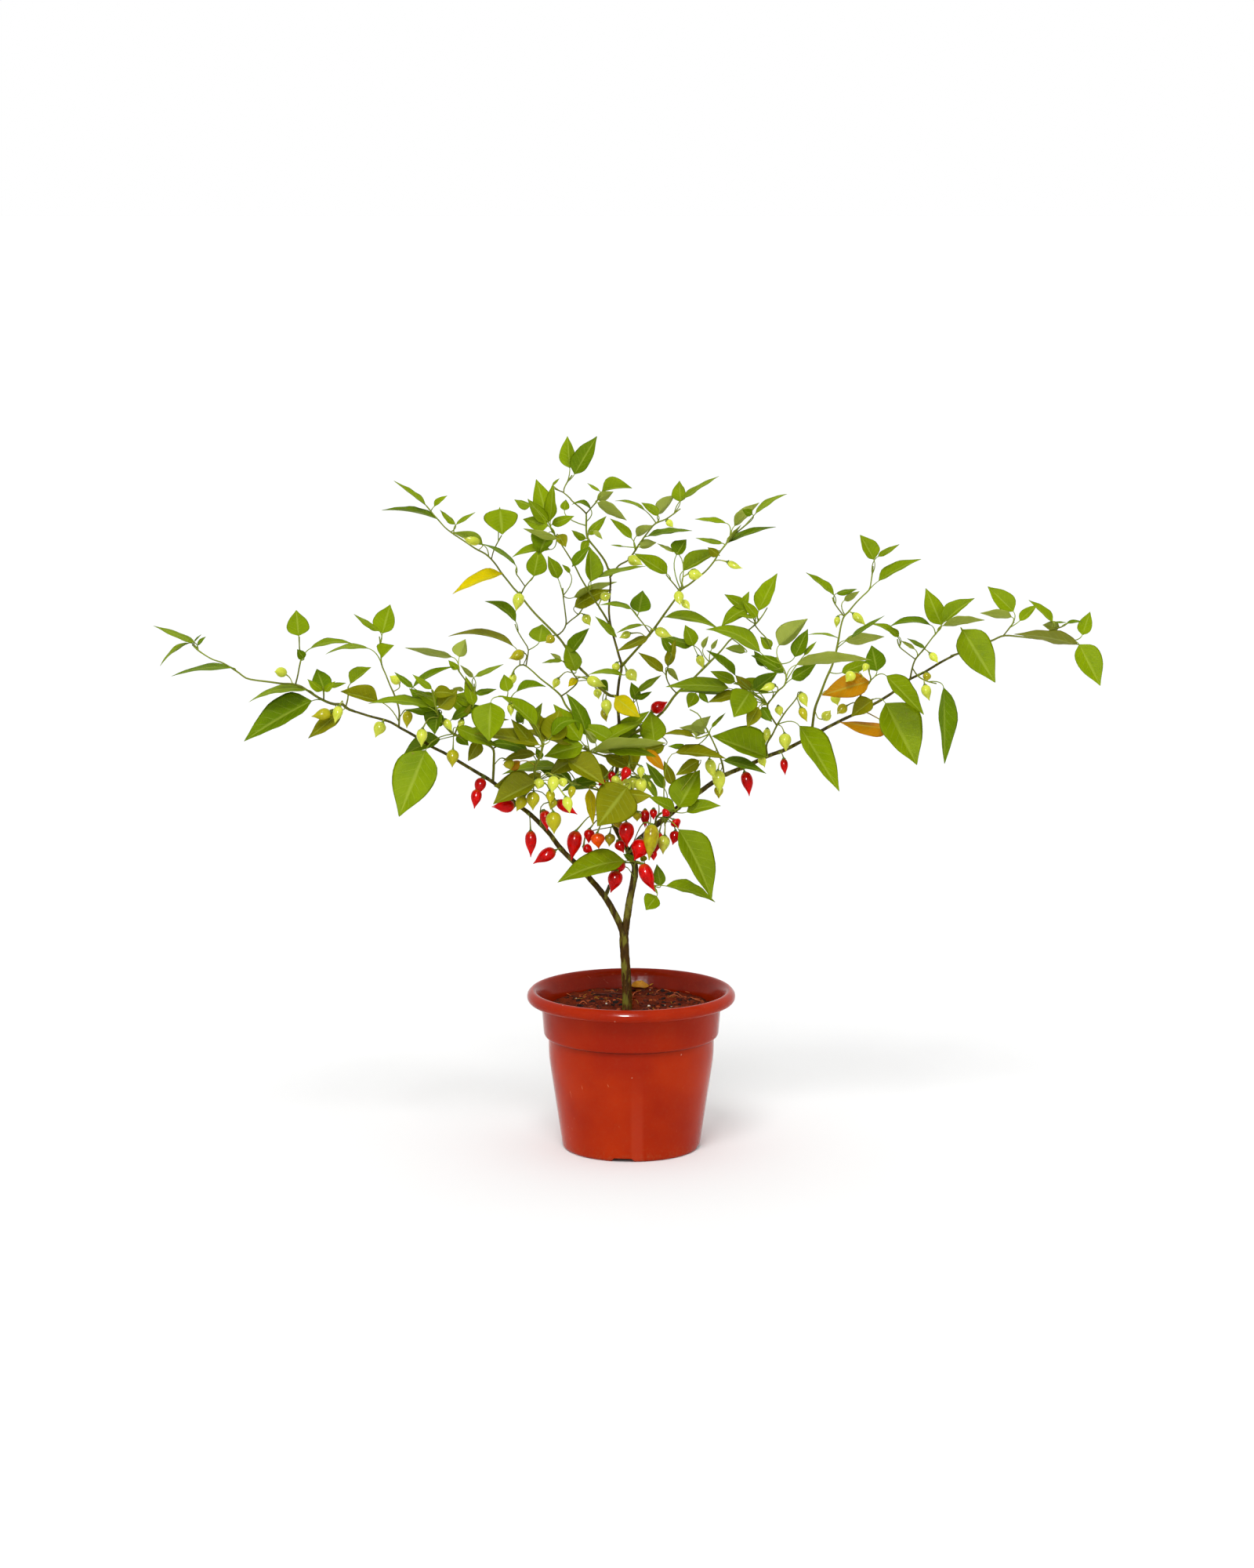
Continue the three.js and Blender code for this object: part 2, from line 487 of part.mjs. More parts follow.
    [1068, 826, 1086, 813, 1129, 785, 0, 3, 3, -6, -10, 1],
    [1114, 722, 1115, 714, 1097, 682, 0, 14, 8, 3, 16, 1],
    [1109, 752, 1121, 741, 1176, 713, 2, 10, 4, -5, -14, 1],
  ],
  right_mid_b: [
    [1062, 762, 1064, 759, 1028, 730, 0, 9, 2, 3, 10, 1],
  ],
  right_upper: [
    [1201, 799, 1201, 797, 1181, 750, 0, 13, 14, 3, 20, 1],
    [1202, 798, 1204, 794, 1244, 763, 1, 15, 3, -4, 10, 1],
    [1202, 799, 1203, 798, 1257, 791, 1, 7, 4, -10, -12, -1],
    [1192, 808, 1187, 797, 1134, 800, 6, 6, 4, 6, 12, 1],
  ],
  right_upper_b: [
    [1145, 815, 1146, 813, 1110, 796, 4, 5, 4, 2, 10, 1],
  ],
  right_upper_c: [
    [1195, 872, 1204, 877, 1205, 975, 0, 19, 8, -6, -12, 1],
  ],
  right_tip: [
    [1236, 829, 1228, 803, 1270, 871, 0, 23, 22, -12, -14, 1],
    [1371, 820, 1375, 822, 1293, 809, 3, 8, 6, -8, -12, -1],
    [1371, 820, 1377, 822, 1404, 875, 0, 19, 16, -6, -14, 1],
  ],
  right_tip_b: [
    [1294, 793, 1293, 780, 1260, 748, 0, 14, 11, 4, 16, 1],
    [1294, 793, 1291, 787, 1250, 782, 0, 7, 4, -4, -6, -1],
  ],
  right_tip_c: [
    [1343, 803, 1343, 794, 1312, 765, 0, 9, 3, 3, 12, 1],
  ],
};

// Green fruit on each stem. A row holds the place on the stem, the fruit's shoulder and tip in the
// front view, its half width there, and in mm how far behind its root the shoulder lies and how
// far behind the shoulder the tip lies.
const FRUITS = {
  left_tip: [
    [376, 873, 363, 859, 350, 857, 6.5, -4, -16], [428, 900, 421, 909, 397, 914, 7.5, -14, -8],
    [438, 900, 433, 901, 427, 923, 6.5, -16, -6],
  ],
  left_twig_b: [
    [509, 915, 521, 907, 519, 929, 6.5, -4, -4], [503, 884, 509, 870, 497, 862, 6, -6, -8],
  ],
  left_mid: [
    [560, 916, 539, 930, 538, 953, 7, -8, -6], [578, 938, 578, 957, 577, 979, 8, -6, -8],
    [629, 974, 648, 970, 652, 982, 7, -6, -6],
  ],
  inner_left: [
    [683, 998, 689, 995, 686, 1007, 7, -6, -8], [683, 998, 707, 991, 704, 1012, 7.5, -10, -10],
    [683, 998, 718, 994, 720, 1004, 6, 2, -8], [676, 1008, 668, 1016, 659, 1035, 7.5, -10, -8],
    [678, 1004, 681, 1011, 680, 1034, 8.5, -16, -8], [683, 998, 702, 1009, 702, 1025, 6, -8, -8],
    [683, 998, 722, 1017, 727, 1038, 6.5, -18, -8], [674, 1010, 706, 1036, 707, 1064, 10, -14, -6],
  ],
  mid_left: [
    [668, 848, 667, 832, 649, 840, 7, -6, -8],
  ],
  mid_left_side: [
    [737, 869, 750, 866, 773, 876, 7, -26, -6],
  ],
  upper_left: [
    [612, 702, 612, 690, 588, 683, 7.5, -8, -8], [664, 759, 663, 757, 658, 780, 7.5, -8, -6],
    [708, 810, 705, 812, 696, 820, 6, -8, -6], [774, 886, 773, 893, 775, 914, 7, -8, -6],
  ],
  upper_left_c: [
    [738, 784, 746, 785, 753, 798, 6, -4, -6],
  ],
  crown_left: [
    [771, 784, 768, 763, 780, 757, 6, -6, -6],
  ],
  crown_right: [
    [807, 708, 803, 713, 820, 721, 7, -6, -10],
  ],
  centre_right: [
    [797, 845, 802, 857, 812, 869, 7.5, -6, -10], [872, 750, 880, 731, 897, 733, 7.5, -8, -8],
    [868, 753, 866, 755, 868, 772, 6.5, -10, -10], [830, 808, 837, 803, 858, 812, 6.5, -10, -8],
  ],
  right_inner: [
    [992, 924, 1001, 936, 1003, 959, 8, -6, -6], [1022, 882, 1022, 884, 1030, 902, 6, -6, -6],
  ],
  inner_right: [
    [921, 972, 916, 983, 918, 1013, 8.5, -10, -6], [914, 957, 905, 969, 912, 994, 7, -2, -6],
    [918, 980, 917, 1003, 917, 1019, 6, 4, -6],
  ],
  right_mid: [
    [1047, 886, 1064, 886, 1069, 900, 6.5, -10, -6], [1039, 908, 1052, 917, 1060, 906, 6.5, -8, -6],
  ],
  right_low: [
    [1103, 878, 1088, 858, 1079, 870, 7, -8, -6], [1094, 899, 1079, 901, 1068, 911, 6.5, -6, -8],
  ],
  right_upper_c: [
    [1180, 869, 1180, 874, 1186, 894, 6.5, -6, -5],
  ],
};

// Bunches that hang from a stem: the stem, the place on it, and rows as in FRUITS without the place.
const BUNCHES = {
  pale_left_bunch: {
    host: 'left_lead',
    root: [490, 922],
    fruits: [
      [488, 922, 479, 941, 8, -7, -5],
    ],
  },
  pale_centre_bunch: {
    host: 'leader',
    root: [787, 986],
    fruits: [
      [796, 993, 798, 1019, 9, -14, -4], [807, 992, 808, 1008, 6, -10, -4],
      [816, 993, 818, 1016, 8, -16, -4], [774, 997, 773, 1008, 6, -8, -4],
      [787, 990, 783, 1004, 6, -26, -4],
    ],
  },
  red_left_pair: {
    host: 'left_lead',
    root: [617, 991],
    fruits: [
      [615, 993, 609, 1015, 7.5, -8, -5], [609, 1007, 605, 1032, 7, -12, -5],
    ],
  },
  red_lead_a: {
    host: 'left_lead',
    root: [662, 1028],
    fruits: [
      [656, 1028, 627, 1029, 8.5, -10, -6],
    ],
  },
  red_lead_b: {
    host: 'left_lead',
    root: [675, 1038],
    fruits: [
      [677, 1060, 677, 1094, 7.5, -8, -4],
    ],
  },
  red_lead_c: {
    host: 'left_lead',
    root: [716, 1083],
    fruits: [
      [708, 1085, 680, 1102, 8.5, -10, -5],
    ],
  },
  red_left_cluster: {
    host: 'left_lead',
    root: [688, 1050],
    fruits: [
      [694, 1034, 698, 1060, 7, -10, -4], [711, 1022, 737, 1039, 7, -14, -5],
    ],
  },
  red_mid_cluster: {
    host: 'leader',
    root: [782, 1047],
    fruits: [
      [735, 1060, 729, 1098, 9.5, -16, -4], [752, 1058, 751, 1076, 7, -10, -4],
      [762, 1063, 764, 1083, 9, -18, -4], [778, 1064, 777, 1080, 7, -12, -4],
      [745, 1080, 757, 1087, 6, -8, -4],
    ],
  },
  red_centre_cluster: {
    host: 'leader',
    root: [800, 1084],
    fruits: [
      [799, 1049, 800, 1081, 10, -24, -4], [788, 1073, 796, 1088, 7, -14, -4],
      [820, 1072, 809, 1098, 12, -22, -6], [832, 1052, 828, 1098, 10, -27, -4],
      [787, 1047, 790, 1057, 6, -12, -3],
    ],
  },
  red_right_cluster: {
    host: 'right_lead',
    root: [848, 1045],
    fruits: [
      [841, 1062, 836, 1090, 7, -12, -4], [848, 1066, 846, 1090, 8, -16, -4],
      [862, 1060, 858, 1078, 7, -10, -4], [860, 1046, 866, 1056, 7, -14, -4],
      [852, 1034, 845, 1041, 6, -32, -3],
    ],
  },
  red_fork_cluster: {
    host: 'right_lead',
    root: [828, 1061],
    fruits: [
      [823, 1033, 823, 1056, 6, -5, -3], [813, 1036, 813, 1048, 6, -12, -3],
    ],
  },
  red_low_cluster: {
    host: 'right_lead',
    root: [808, 1118],
    fruits: [
      [796, 1100, 778, 1114, 7, -8, -4], [787, 1111, 779, 1139, 9.5, -14, -5],
      [820, 1102, 836, 1138, 9, -24, -5],
    ],
  },
  red_crown_single: {
    host: 'right_crown',
    root: [846, 907],
    fruits: [
      [832, 906, 852, 895, 8, -8, -4],
    ],
  },
  red_inner_bunch: {
    host: 'leader',
    root: [788, 968],
    fruits: [
      [802, 979, 793, 997, 6.5, -30, -4],
    ],
  },
  red_right_a: {
    host: 'right_lead',
    root: [948, 979],
    fruits: [
      [950, 985, 956, 1016, 7.5, -8, -5],
    ],
  },
  red_right_b: {
    host: 'right_lead',
    root: [993, 960],
    fruits: [
      [1000, 968, 1002, 989, 5, -6, -4],
    ],
  },
};

const wasm = await Module();
wasm.setup();
const { Manifold, Mesh: SolidMesh } = wasm;

// ---- Solids ----

// Random draws between 0 and 1 that come out alike every time.
function makeRandom(seed) {
  let state = seed;
  return () => {
    state = (state * 16807) % 2147483647;
    return state / 2147483647;
  };
}

// A closed mesh as a solid that can be joined and cut.
function toSolid(geometry) {
  geometry.deleteAttribute('normal');
  geometry.deleteAttribute('uv');
  const merged = mergeVertices(geometry, 1e-4);
  const corners = merged.index.array;
  const triangles = [];
  for (let i = 0; i < corners.length; i += 3) {
    const [a, b, c] = corners.slice(i, i + 3);
    if (a !== b && b !== c && c !== a) {
      triangles.push(a, b, c);
    }
  }
  const vertProperties = Float32Array.from(merged.attributes.position.array);
  const triVerts = Uint32Array.from(triangles);
  return new Manifold(new SolidMesh({ numProp: 3, vertProperties, triVerts }));
}

function joinAll(solids) {
  return solids.reduce((whole, piece) => whole.add(piece));
}

// The largest connected body of a solid, without loose scraps or slivers.
function mainBody(solid) {
  const bodies = solid.simplify(MERGE_LENGTH).decompose();
  return bodies.reduce((best, body) => (body.volume() > best.volume() ? body : best));
}

function toMesh(name, solid, material) {
  const { vertProperties, triVerts } = solid.getMesh();
  const geometry = new THREE.BufferGeometry();
  geometry.setAttribute('position', new THREE.BufferAttribute(vertProperties, 3));
  geometry.setIndex(new THREE.BufferAttribute(triVerts, 1));
  geometry.computeVertexNormals();
  const mesh = new THREE.Mesh(geometry, material);
  mesh.name = name;
  return mesh;
}

// Skins rings of points, one after another, and closes the start flat and the end in a point.
// A ring's first half lies on one face and its second half on the other, and both faces are
// split into triangles alike, so that a thin blade's faces never cross.
function loft(rings, tip) {
  const count = rings[0].length;
  const points = [...rings.flat(), tip];
  const index = [];
  for (let i = 0; i + 1 < rings.length; i += 1) {
    for (let j = 0; j < count; j += 1) {
      const a = i * count + j;
      const b = i * count + ((j + 1) % count);
      const c = a + count;
      const d = b + count;
      const onFarFace = j >= count / 2 && j < count - 1;
      if (onFarFace) {
        index.push(a, b, c, b, d, c);
      } else {
        index.push(a, b, d, a, d, c);
      }
    }
  }
  const lastRing = (rings.length - 1) * count;
  for (let j = 0; j < count; j += 1) {
    index.push(lastRing + j, lastRing + ((j + 1) % count), points.length - 1);
  }
  for (let j = 1; j + 1 < count; j += 1) {
    index.push(0, j + 1, j);
  }
  const geometry = new THREE.BufferGeometry().setFromPoints(points);
  geometry.setIndex(index);
  return toSolid(geometry);
}

// ---- Front view ----

function at(px, py, depth) {
  const across = (px - VIEW_CENTRE[0]) / FOCAL_PX;
  const up = (VIEW_CENTRE[1] - py) / FOCAL_PX;
  const ray = VIEW_AWAY.clone().addScaledVector(VIEW_RIGHT, across).addScaledVector(VIEW_UP, up);
  return EYE.clone().addScaledVector(ray, (depth - EYE.y) / ray.y);
}

// Millimetres to one unit of the front view at a point.
function viewScale(point) {
  return point.clone().sub(EYE).dot(VIEW_AWAY) / FOCAL_PX;
}

// ---- Pot ----

function turned(profile, segments) {
  const points = profile.map(([radius, height]) => new THREE.Vector2(radius, height));
  const geometry = new THREE.LatheGeometry(points, segments);
  geometry.rotateX(Math.PI / 2);
  return geometry;
}

// A quarter circle from one angle to the next, as [radius, height] points.
function quarter(centreRadius, centreHeight, rounding, startAngle) {
  const curve = new THREE.EllipseCurve(
    centreRadius, centreHeight, rounding, rounding, startAngle, startAngle + Math.PI / 2);
  return curve.getPoints(RIM_ARC_STEPS).map((point) => [point.x, point.y]);
}

function makePot() {
  const rimBottom = POT_HEIGHT - RIM_HEIGHT;
  const profile = [
    [0, 0],
    [POT_BASE_RADIUS - POT_BASE_BEVEL, 0],
    [POT_BASE_RADIUS, POT_BASE_BEVEL],
    [POT_FLANK_RADIUS, POT_FLANK_HEIGHT],
    [POT_STEP_RADIUS, POT_STEP_HEIGHT],
    [COLLAR_FOOT_RADIUS, COLLAR_FOOT_HEIGHT],
    [COLLAR_TOP_RADIUS, rimBottom],
    ...quarter(RIM_RADIUS - RIM_ROUNDING, rimBottom + RIM_ROUNDING, RIM_ROUNDING, -Math.PI / 2),
    ...quarter(RIM_RADIUS - RIM_ROUNDING, POT_HEIGHT - RIM_ROUNDING, RIM_ROUNDING, 0),
    ...quarter(RIM_INNER_RADIUS + RIM_ROUNDING, POT_HEIGHT - RIM_ROUNDING, RIM_ROUNDING, Math.PI / 2),
    [COLLAR_TOP_RADIUS - POT_WALL, rimBottom - RIM_INNER_DROP],
    [COLLAR_FOOT_RADIUS - POT_WALL, COLLAR_FOOT_HEIGHT],
    [POT_STEP_RADIUS - POT_WALL, POT_STEP_HEIGHT],
    [POT_FLANK_RADIUS - POT_WALL, POT_FLANK_HEIGHT],
    [POT_BASE_RADIUS - POT_WALL, POT_FLOOR],
    [0, POT_FLOOR],
  ];
  const body = toSolid(turned(profile, POT_SEGMENTS));
  const notches = [];
  for (let i = 0; i < NOTCH_COUNT; i += 1) {
    const notch = new THREE.BoxGeometry(NOTCH_WIDTH, 2 * NOTCH_DEPTH, 2 * NOTCH_HEIGHT);
    notch.translate(0, -POT_BASE_RADIUS, 0);
    notch.rotateZ(NOTCH_TURN + (i * 2 * Math.PI) / NOTCH_COUNT);
    notches.push(toSolid(notch));
  }
  return body.subtract(joinAll(notches));
}

// ---- Soil ----

// The radius of the soil's surface, which clears the collar where the surface is lowest.
function soilRadius() {
  const share = (SOIL_EDGE_HEIGHT - SOIL_RISE - COLLAR_FOOT_HEIGHT)
    / (POT_HEIGHT - RIM_HEIGHT - RIM_INNER_DROP - COLLAR_FOOT_HEIGHT);
  return THREE.MathUtils.lerp(COLLAR_FOOT_RADIUS, COLLAR_TOP_RADIUS, share) - POT_WALL - GAP;
}

// The height of the soil's surface, a low crown that rises to the back.
function soilHeight(x, y) {
  const crown = SOIL_CROWN * (1 - (x * x + y * y) / soilRadius() ** 2);
  return SOIL_EDGE_HEIGHT + crown + (SOIL_RISE * y) / soilRadius();
}

// A wood chip or a grain, sunk for about half its height where it lies.
function placeOnSoil(geometry, angle, radius, tilt) {
  geometry.rotateX(tilt);
  geometry.rotateZ(angle * 3);
  const x = radius * Math.cos(angle);
  const y = radius * Math.sin(angle);
  geometry.translate(x, y, soilHeight(x, y));
  return toSolid(geometry);
}

function makeLitter(random) {
  const pieces = [];
  const draw = ([low, high]) => low + (high - low) * random();
  for (let i = 0; i < CHIP_COUNT; i += 1) {
    const chip = new THREE.BoxGeometry(draw(CHIP_LENGTH), draw(CHIP_WIDTH), draw(CHIP_THICKNESS));
    pieces.push(placeOnSoil(chip, 2 * Math.PI * random(), draw(LITTER_REACH), CHIP_TILT * random()));
  }
  for (let i = 0; i < GRAIN_COUNT; i += 1) {
    const grain = new THREE.IcosahedronGeometry(draw(GRAIN_RADIUS), 0);
    pieces.push(placeOnSoil(grain, 2 * Math.PI * random(), draw(LITTER_REACH), random()));
  }
  // A dry twig behind the trunk, to its left.
  const twig = new THREE.CylinderGeometry(...DRY_TWIG_RADII, DRY_TWIG_LENGTH, 5);
  twig.rotateZ(Math.PI / 2 + DRY_TWIG_TURN);
  const height = soilHeight(...DRY_TWIG_PLACE) + DRY_TWIG_LIFT;
  twig.translate(...DRY_TWIG_PLACE, height);
  pieces.push(toSolid(twig));
  return pieces;
}

function makeSoil() {
  const random = makeRandom(SOIL_SEED);
  const edge = soilRadius();
  const profile = [
    [0, POT_FLOOR + GAP],
    [POT_BASE_RADIUS - POT_WALL - GAP, POT_FLOOR + GAP],
    [POT_FLANK_RADIUS - POT_WALL - GAP, POT_FLANK_HEIGHT],
    [POT_STEP_RADIUS - POT_WALL - GAP, POT_STEP_HEIGHT],
    [COLLAR_FOOT_RADIUS - POT_WALL - GAP, COLLAR_FOOT_HEIGHT + GAP],
    [edge, SOIL_EDGE_HEIGHT],
  ];
  for (const share of SOIL_RING_SHARES) {
    profile.push([edge * share, SOIL_EDGE_HEIGHT + SOIL_CROWN * (1 - share ** 2)]);
  }
  const geometry = mergeVertices(stripped(turned(profile, SOIL_SEGMENTS)), 1e-4);
  const position = geometry.attributes.position;
  for (let i = 0; i < position.count; i += 1) {
    const onEdge = Math.hypot(position.getX(i), position.getY(i)) > edge - 1;
    const lift = SOIL_ROUGHNESS * (2 * random() - 1);
    if (position.getZ(i) > SOIL_EDGE_HEIGHT - 1) {
      const height = soilHeight(position.getX(i), position.getY(i));
      position.setZ(i, height + (onEdge ? 0 : lift));
    }
  }
  const holeDepth = STEM_HOLE_TOP - STEM_HOLE_BOTTOM;
  const stemHole = new THREE.CylinderGeometry(STEM_HOLE_RADIUS, STEM_HOLE_RADIUS, holeDepth, 12);
  stemHole.rotateX(Math.PI / 2);
  const trunkRoot = at(...STEMS[0][4][0]);
  stemHole.translate(trunkRoot.x, trunkRoot.y, STEM_HOLE_BOTTOM + holeDepth / 2);
  const ground = joinAll([toSolid(geometry), ...makeLitter(random)]);
  return mainBody(ground.subtract(toSolid(stemHole)));
}

function stripped(geometry) {
  geometry.deleteAttribute('normal');
  geometry.deleteAttribute('uv');
  return geometry;
}

// ---- Stems ----

// A stem as a tapered tube, with the centres and radii of its rings. Every ring of the even tube
// is drawn in toward its own centre, or out from it, by the taper.
function makeStem(row) {
  const [, node, startRadius, endRadius, points] = row;
  const isWood = node === 'woody_stems';
  const path = new THREE.CatmullRomCurve3(points.map((point) => at(...point)), false, 'centripetal');
  const steps = Math.max(2, Math.round(path.getLength() / (isWood ? WOOD_STEP : TWIG_STEP)));
  const centres = path.getSpacedPoints(steps);
  const power = isWood ? WOOD_TAPER_POWER : 1;
  const radii = centres.map(
    (_, i) => THREE.MathUtils.lerp(endRadius, startRadius, (1 - i / steps) ** power));
  const sides = isWood ? WOOD_SIDES : TWIG_SIDES;
  const tube = (extra) => {
    const section = new THREE.Shape(new THREE.EllipseCurve(0, 0, 1, 1).getPoints(sides).slice(0, sides));
    const geometry = new THREE.ExtrudeGeometry(
      section, { steps, extrudePath: path, bevelEnabled: false });
    const position = geometry.attributes.position;
    const vertex = new THREE.Vector3();
    for (let i = 0; i < position.count; i += 1) {
      vertex.fromBufferAttribute(position, i);
      const ring = nearestIndex(centres, vertex);
      vertex.sub(centres[ring]).multiplyScalar(radii[ring] + extra).add(centres[ring]);
      position.setXYZ(i, vertex.x, vertex.y, vertex.z);
    }
    return toSolid(geometry);
  };
  return { node, centres, radii, tube };
}

function nearestIndex(points, target) {
  let best = 0;
  points.forEach((point, i) => {
    if (point.distanceTo(target) < points[best].distanceTo(target)) {
      best = i;
    }
  });
  return best;
}

// Where a point is seen in the front view.
function seen(point) {
  const offset = point.clone().sub(EYE);
  const away = offset.dot(VIEW_AWAY);
  return new THREE.Vector2(
    VIEW_CENTRE[0] + (FOCAL_PX * offset.dot(VIEW_RIGHT)) / away,
    VIEW_CENTRE[1] - (FOCAL_PX * offset.dot(VIEW_UP)) / away);
}

// The point of a stem's centre line that is seen nearest to a front-view place, a little short
// of the stem's end.
function onStem(stem, px, py) {
  const target = new THREE.Vector2(px, py);
  const last = stem.centres.length - 2;
  const endShare = 1 - END_INSET / stem.centres[last].distanceTo(stem.centres[last + 1]);
  let best = null;
  for (let i = 0; i <= last; i += 1) {
    const start = seen(stem.centres[i]);
    const along = seen(stem.centres[i + 1]).sub(start);
    const raw = target.clone().sub(start).dot(along) / along.lengthSq();
    const share = THREE.MathUtils.clamp(raw, 0, i === last ? endShare : 1);
    const distance = start.addScaledVector(along, share).distanceTo(target);
    if (best === null || distance < best.distance) {
      const centre = stem.centres[i].clone().lerp(stem.centres[i + 1], share);
      const radius = THREE.MathUtils.lerp(stem.radii[i], stem.radii[i + 1], share);
      best = { distance, centre, radius };
    }
  }
  return best;
}

// ---- Leaves ----

// The share of the greatest half width at a share of the blade's length.
const LARGE_PROFILE = [[0.02, 0.16], [0.22, 0.86], [0.54, 0.86], [0.84, 0.22]];
const SMALL_PROFILE = [[0.03, 0.2], [0.38, 1], [0.78, 0.36]];

function bladeRing(centre, along, upper, lower, folded) {
  const half = BLADE_THICKNESS / 2;
  const normal = new THREE.Vector3().crossVectors(along, upper.clone().sub(lower)).normalize();
  const upperEdge = centre.clone().add(upper);
  const lowerEdge = centre.clone().add(lower);
  const lifted = (point, amount) => point.clone().addScaledVector(normal, amount);
  if (!folded) {
    return [
      lifted(upperEdge, half), lifted(lowerEdge, half),
      lifted(lowerEdge, -half), lifted(upperEdge, -half),
    ];
  }
  const foldCosine = Math.max(SMALLEST_FOLD_COSINE, normal.dot(
    new THREE.Vector3().crossVectors(along, upper).normalize()));
  return [
    lifted(upperEdge, half / foldCosine), lifted(centre, half / foldCosine),
    lifted(lowerEdge, half / foldCosine), lifted(lowerEdge, -half / foldCosine),
    lifted(centre, -half / foldCosine), lifted(upperEdge, -half / foldCosine),
  ];
}

// The foot of a petiole, well inside the stem that it grows from.
function petioleRing(stemPlace, along, side, folded) {
  const across = side.clone().addScaledVector(along, -side.dot(along)).normalize();
  const normal = new THREE.Vector3().crossVectors(along, across).normalize();
  const size = Math.min(PETIOLE_RADIUS, PETIOLE_FOOT_SHARE * stemPlace.radius);
  const corner = (right, up) => stemPlace.centre.clone()
    .addScaledVector(across, right * size)
    .addScaledVector(normal, up * size);
  if (!folded) {
    return [corner(1, 1), corner(-1, 1), corner(-1, -1), corner(1, -1)];
  }
  return [
    corner(0.8, 0.8), corner(0, 1.2), corner(-0.8, 0.8),
    corner(-0.8, -0.8), corner(0, -1.2), corner(0.8, -0.8),
  ];
}

// A leaf on its petiole, from a row of LEAVES.
function makeLeaf(stem, row) {
  const [ax, ay, bx, by, tx, ty, bend, upperWidth, lowerWidth, baseDepth, tipDepth, face] = row;
  const place = onStem(stem, ax, ay);
  const base = at(bx, by, place.centre.y + baseDepth);
  const tip = at(tx, ty, base.y + tipDepth);
  const scale = viewScale(base);
  const travel = new THREE.Vector2(tx - bx, ty - by).normalize();
  const sideSign = travel.x >= 0 ? 1 : -1;
  const upside = VIEW_RIGHT.clone().multiplyScalar(sideSign * travel.y)
    .addScaledVector(VIEW_UP, sideSign * travel.x);
  const middle = base.clone().lerp(tip, 0.5).addScaledVector(upside, 2 * bend * scale);
  const midrib = new THREE.QuadraticBezierCurve3(base, middle, tip);
  const length = midrib.getLength();
  const halfWidth = Math.max(LEAF_WIDTH_RATIO * length, upperWidth * scale, lowerWidth * scale);
  const edge = (width, sign) => {
    const slant = Math.sqrt(halfWidth ** 2 - (width * scale) ** 2);
    return upside.clone().multiplyScalar(sign * width * scale)
      .addScaledVector(VIEW_AWAY, sign * face * slant);
  };
  const upper = edge(upperWidth, 1);
  const lower = edge(lowerWidth, -1);
  const folded = length > FOLDED_LEAF_LENGTH;
  const profile = length > LARGE_LEAF_LENGTH ? LARGE_PROFILE : SMALL_PROFILE;
  const rings = profile.map(([share, width]) => bladeRing(
    midrib.getPoint(share), midrib.getTangent(share),
    upper.clone().multiplyScalar(width), lower.clone().multiplyScalar(width), folded));
  const out = base.clone().sub(place.centre).normalize();
  rings.unshift(petioleRing(place, out, upper.clone().sub(lower), folded));
  return loft(rings, tip);
}

// ---- Fruit ----

// The share of the fruit's radius at a share of its length.
const FRUIT_PROFILE = [[0.12, 0.82], [0.58, 0.92]];

// A fruit that hangs on an arched stalk from a start, from a row of FRUITS or of a bunch. Its
// depths count from the depth of the place that the row names.
function makeFruit(start, startRadius, placeDepth, row) {
  const [sx, sy, tx, ty, radiusPx, shoulderDepth, tipDepth] = row;
  const shoulder = at(sx, sy, placeDepth + shoulderDepth);
  const tip = at(tx, ty, shoulder.y + tipDepth);
  const radius = radiusPx * viewScale(shoulder);
  const axis = tip.clone().sub(shoulder).normalize();
  const reach = start.distanceTo(shoulder);
  const arch = start.clone().lerp(shoulder, PEDICEL_ARCH_PLACE)
    .addScaledVector(axis, -PEDICEL_ARCH_HEIGHT * reach);
  const stations = [
    { centre: start, along: arch.clone().sub(start).normalize(), radius: startRadius },
    { centre: arch, along: shoulder.clone().sub(start).normalize(), radius: PEDICEL_RADIUS },
  ];
  for (const [share, width] of FRUIT_PROFILE) {
    stations.push({ centre: shoulder.clone().lerp(tip, share), along: axis, radius: width * radius });
  }
  const across = Math.abs(stations[0].along.x) < 0.8 ? VIEW_RIGHT.clone() : VIEW_UP.clone();
  const rings = stations.map((station) => {
    across.addScaledVector(station.along, -across.dot(station.along)).normalize();
    const over = new THREE.Vector3().crossVectors(station.along, across);
    const ring = [];
    for (let i = 0; i < FRUIT_SIDES; i += 1) {
      const angle = (i * 2 * Math.PI) / FRUIT_SIDES;
      ring.push(station.centre.clone()
        .addScaledVector(across, station.radius * Math.cos(angle))
        .addScaledVector(over, station.radius * Math.sin(angle)));
    }
    return ring;
  });
  return loft(rings, tip);
}

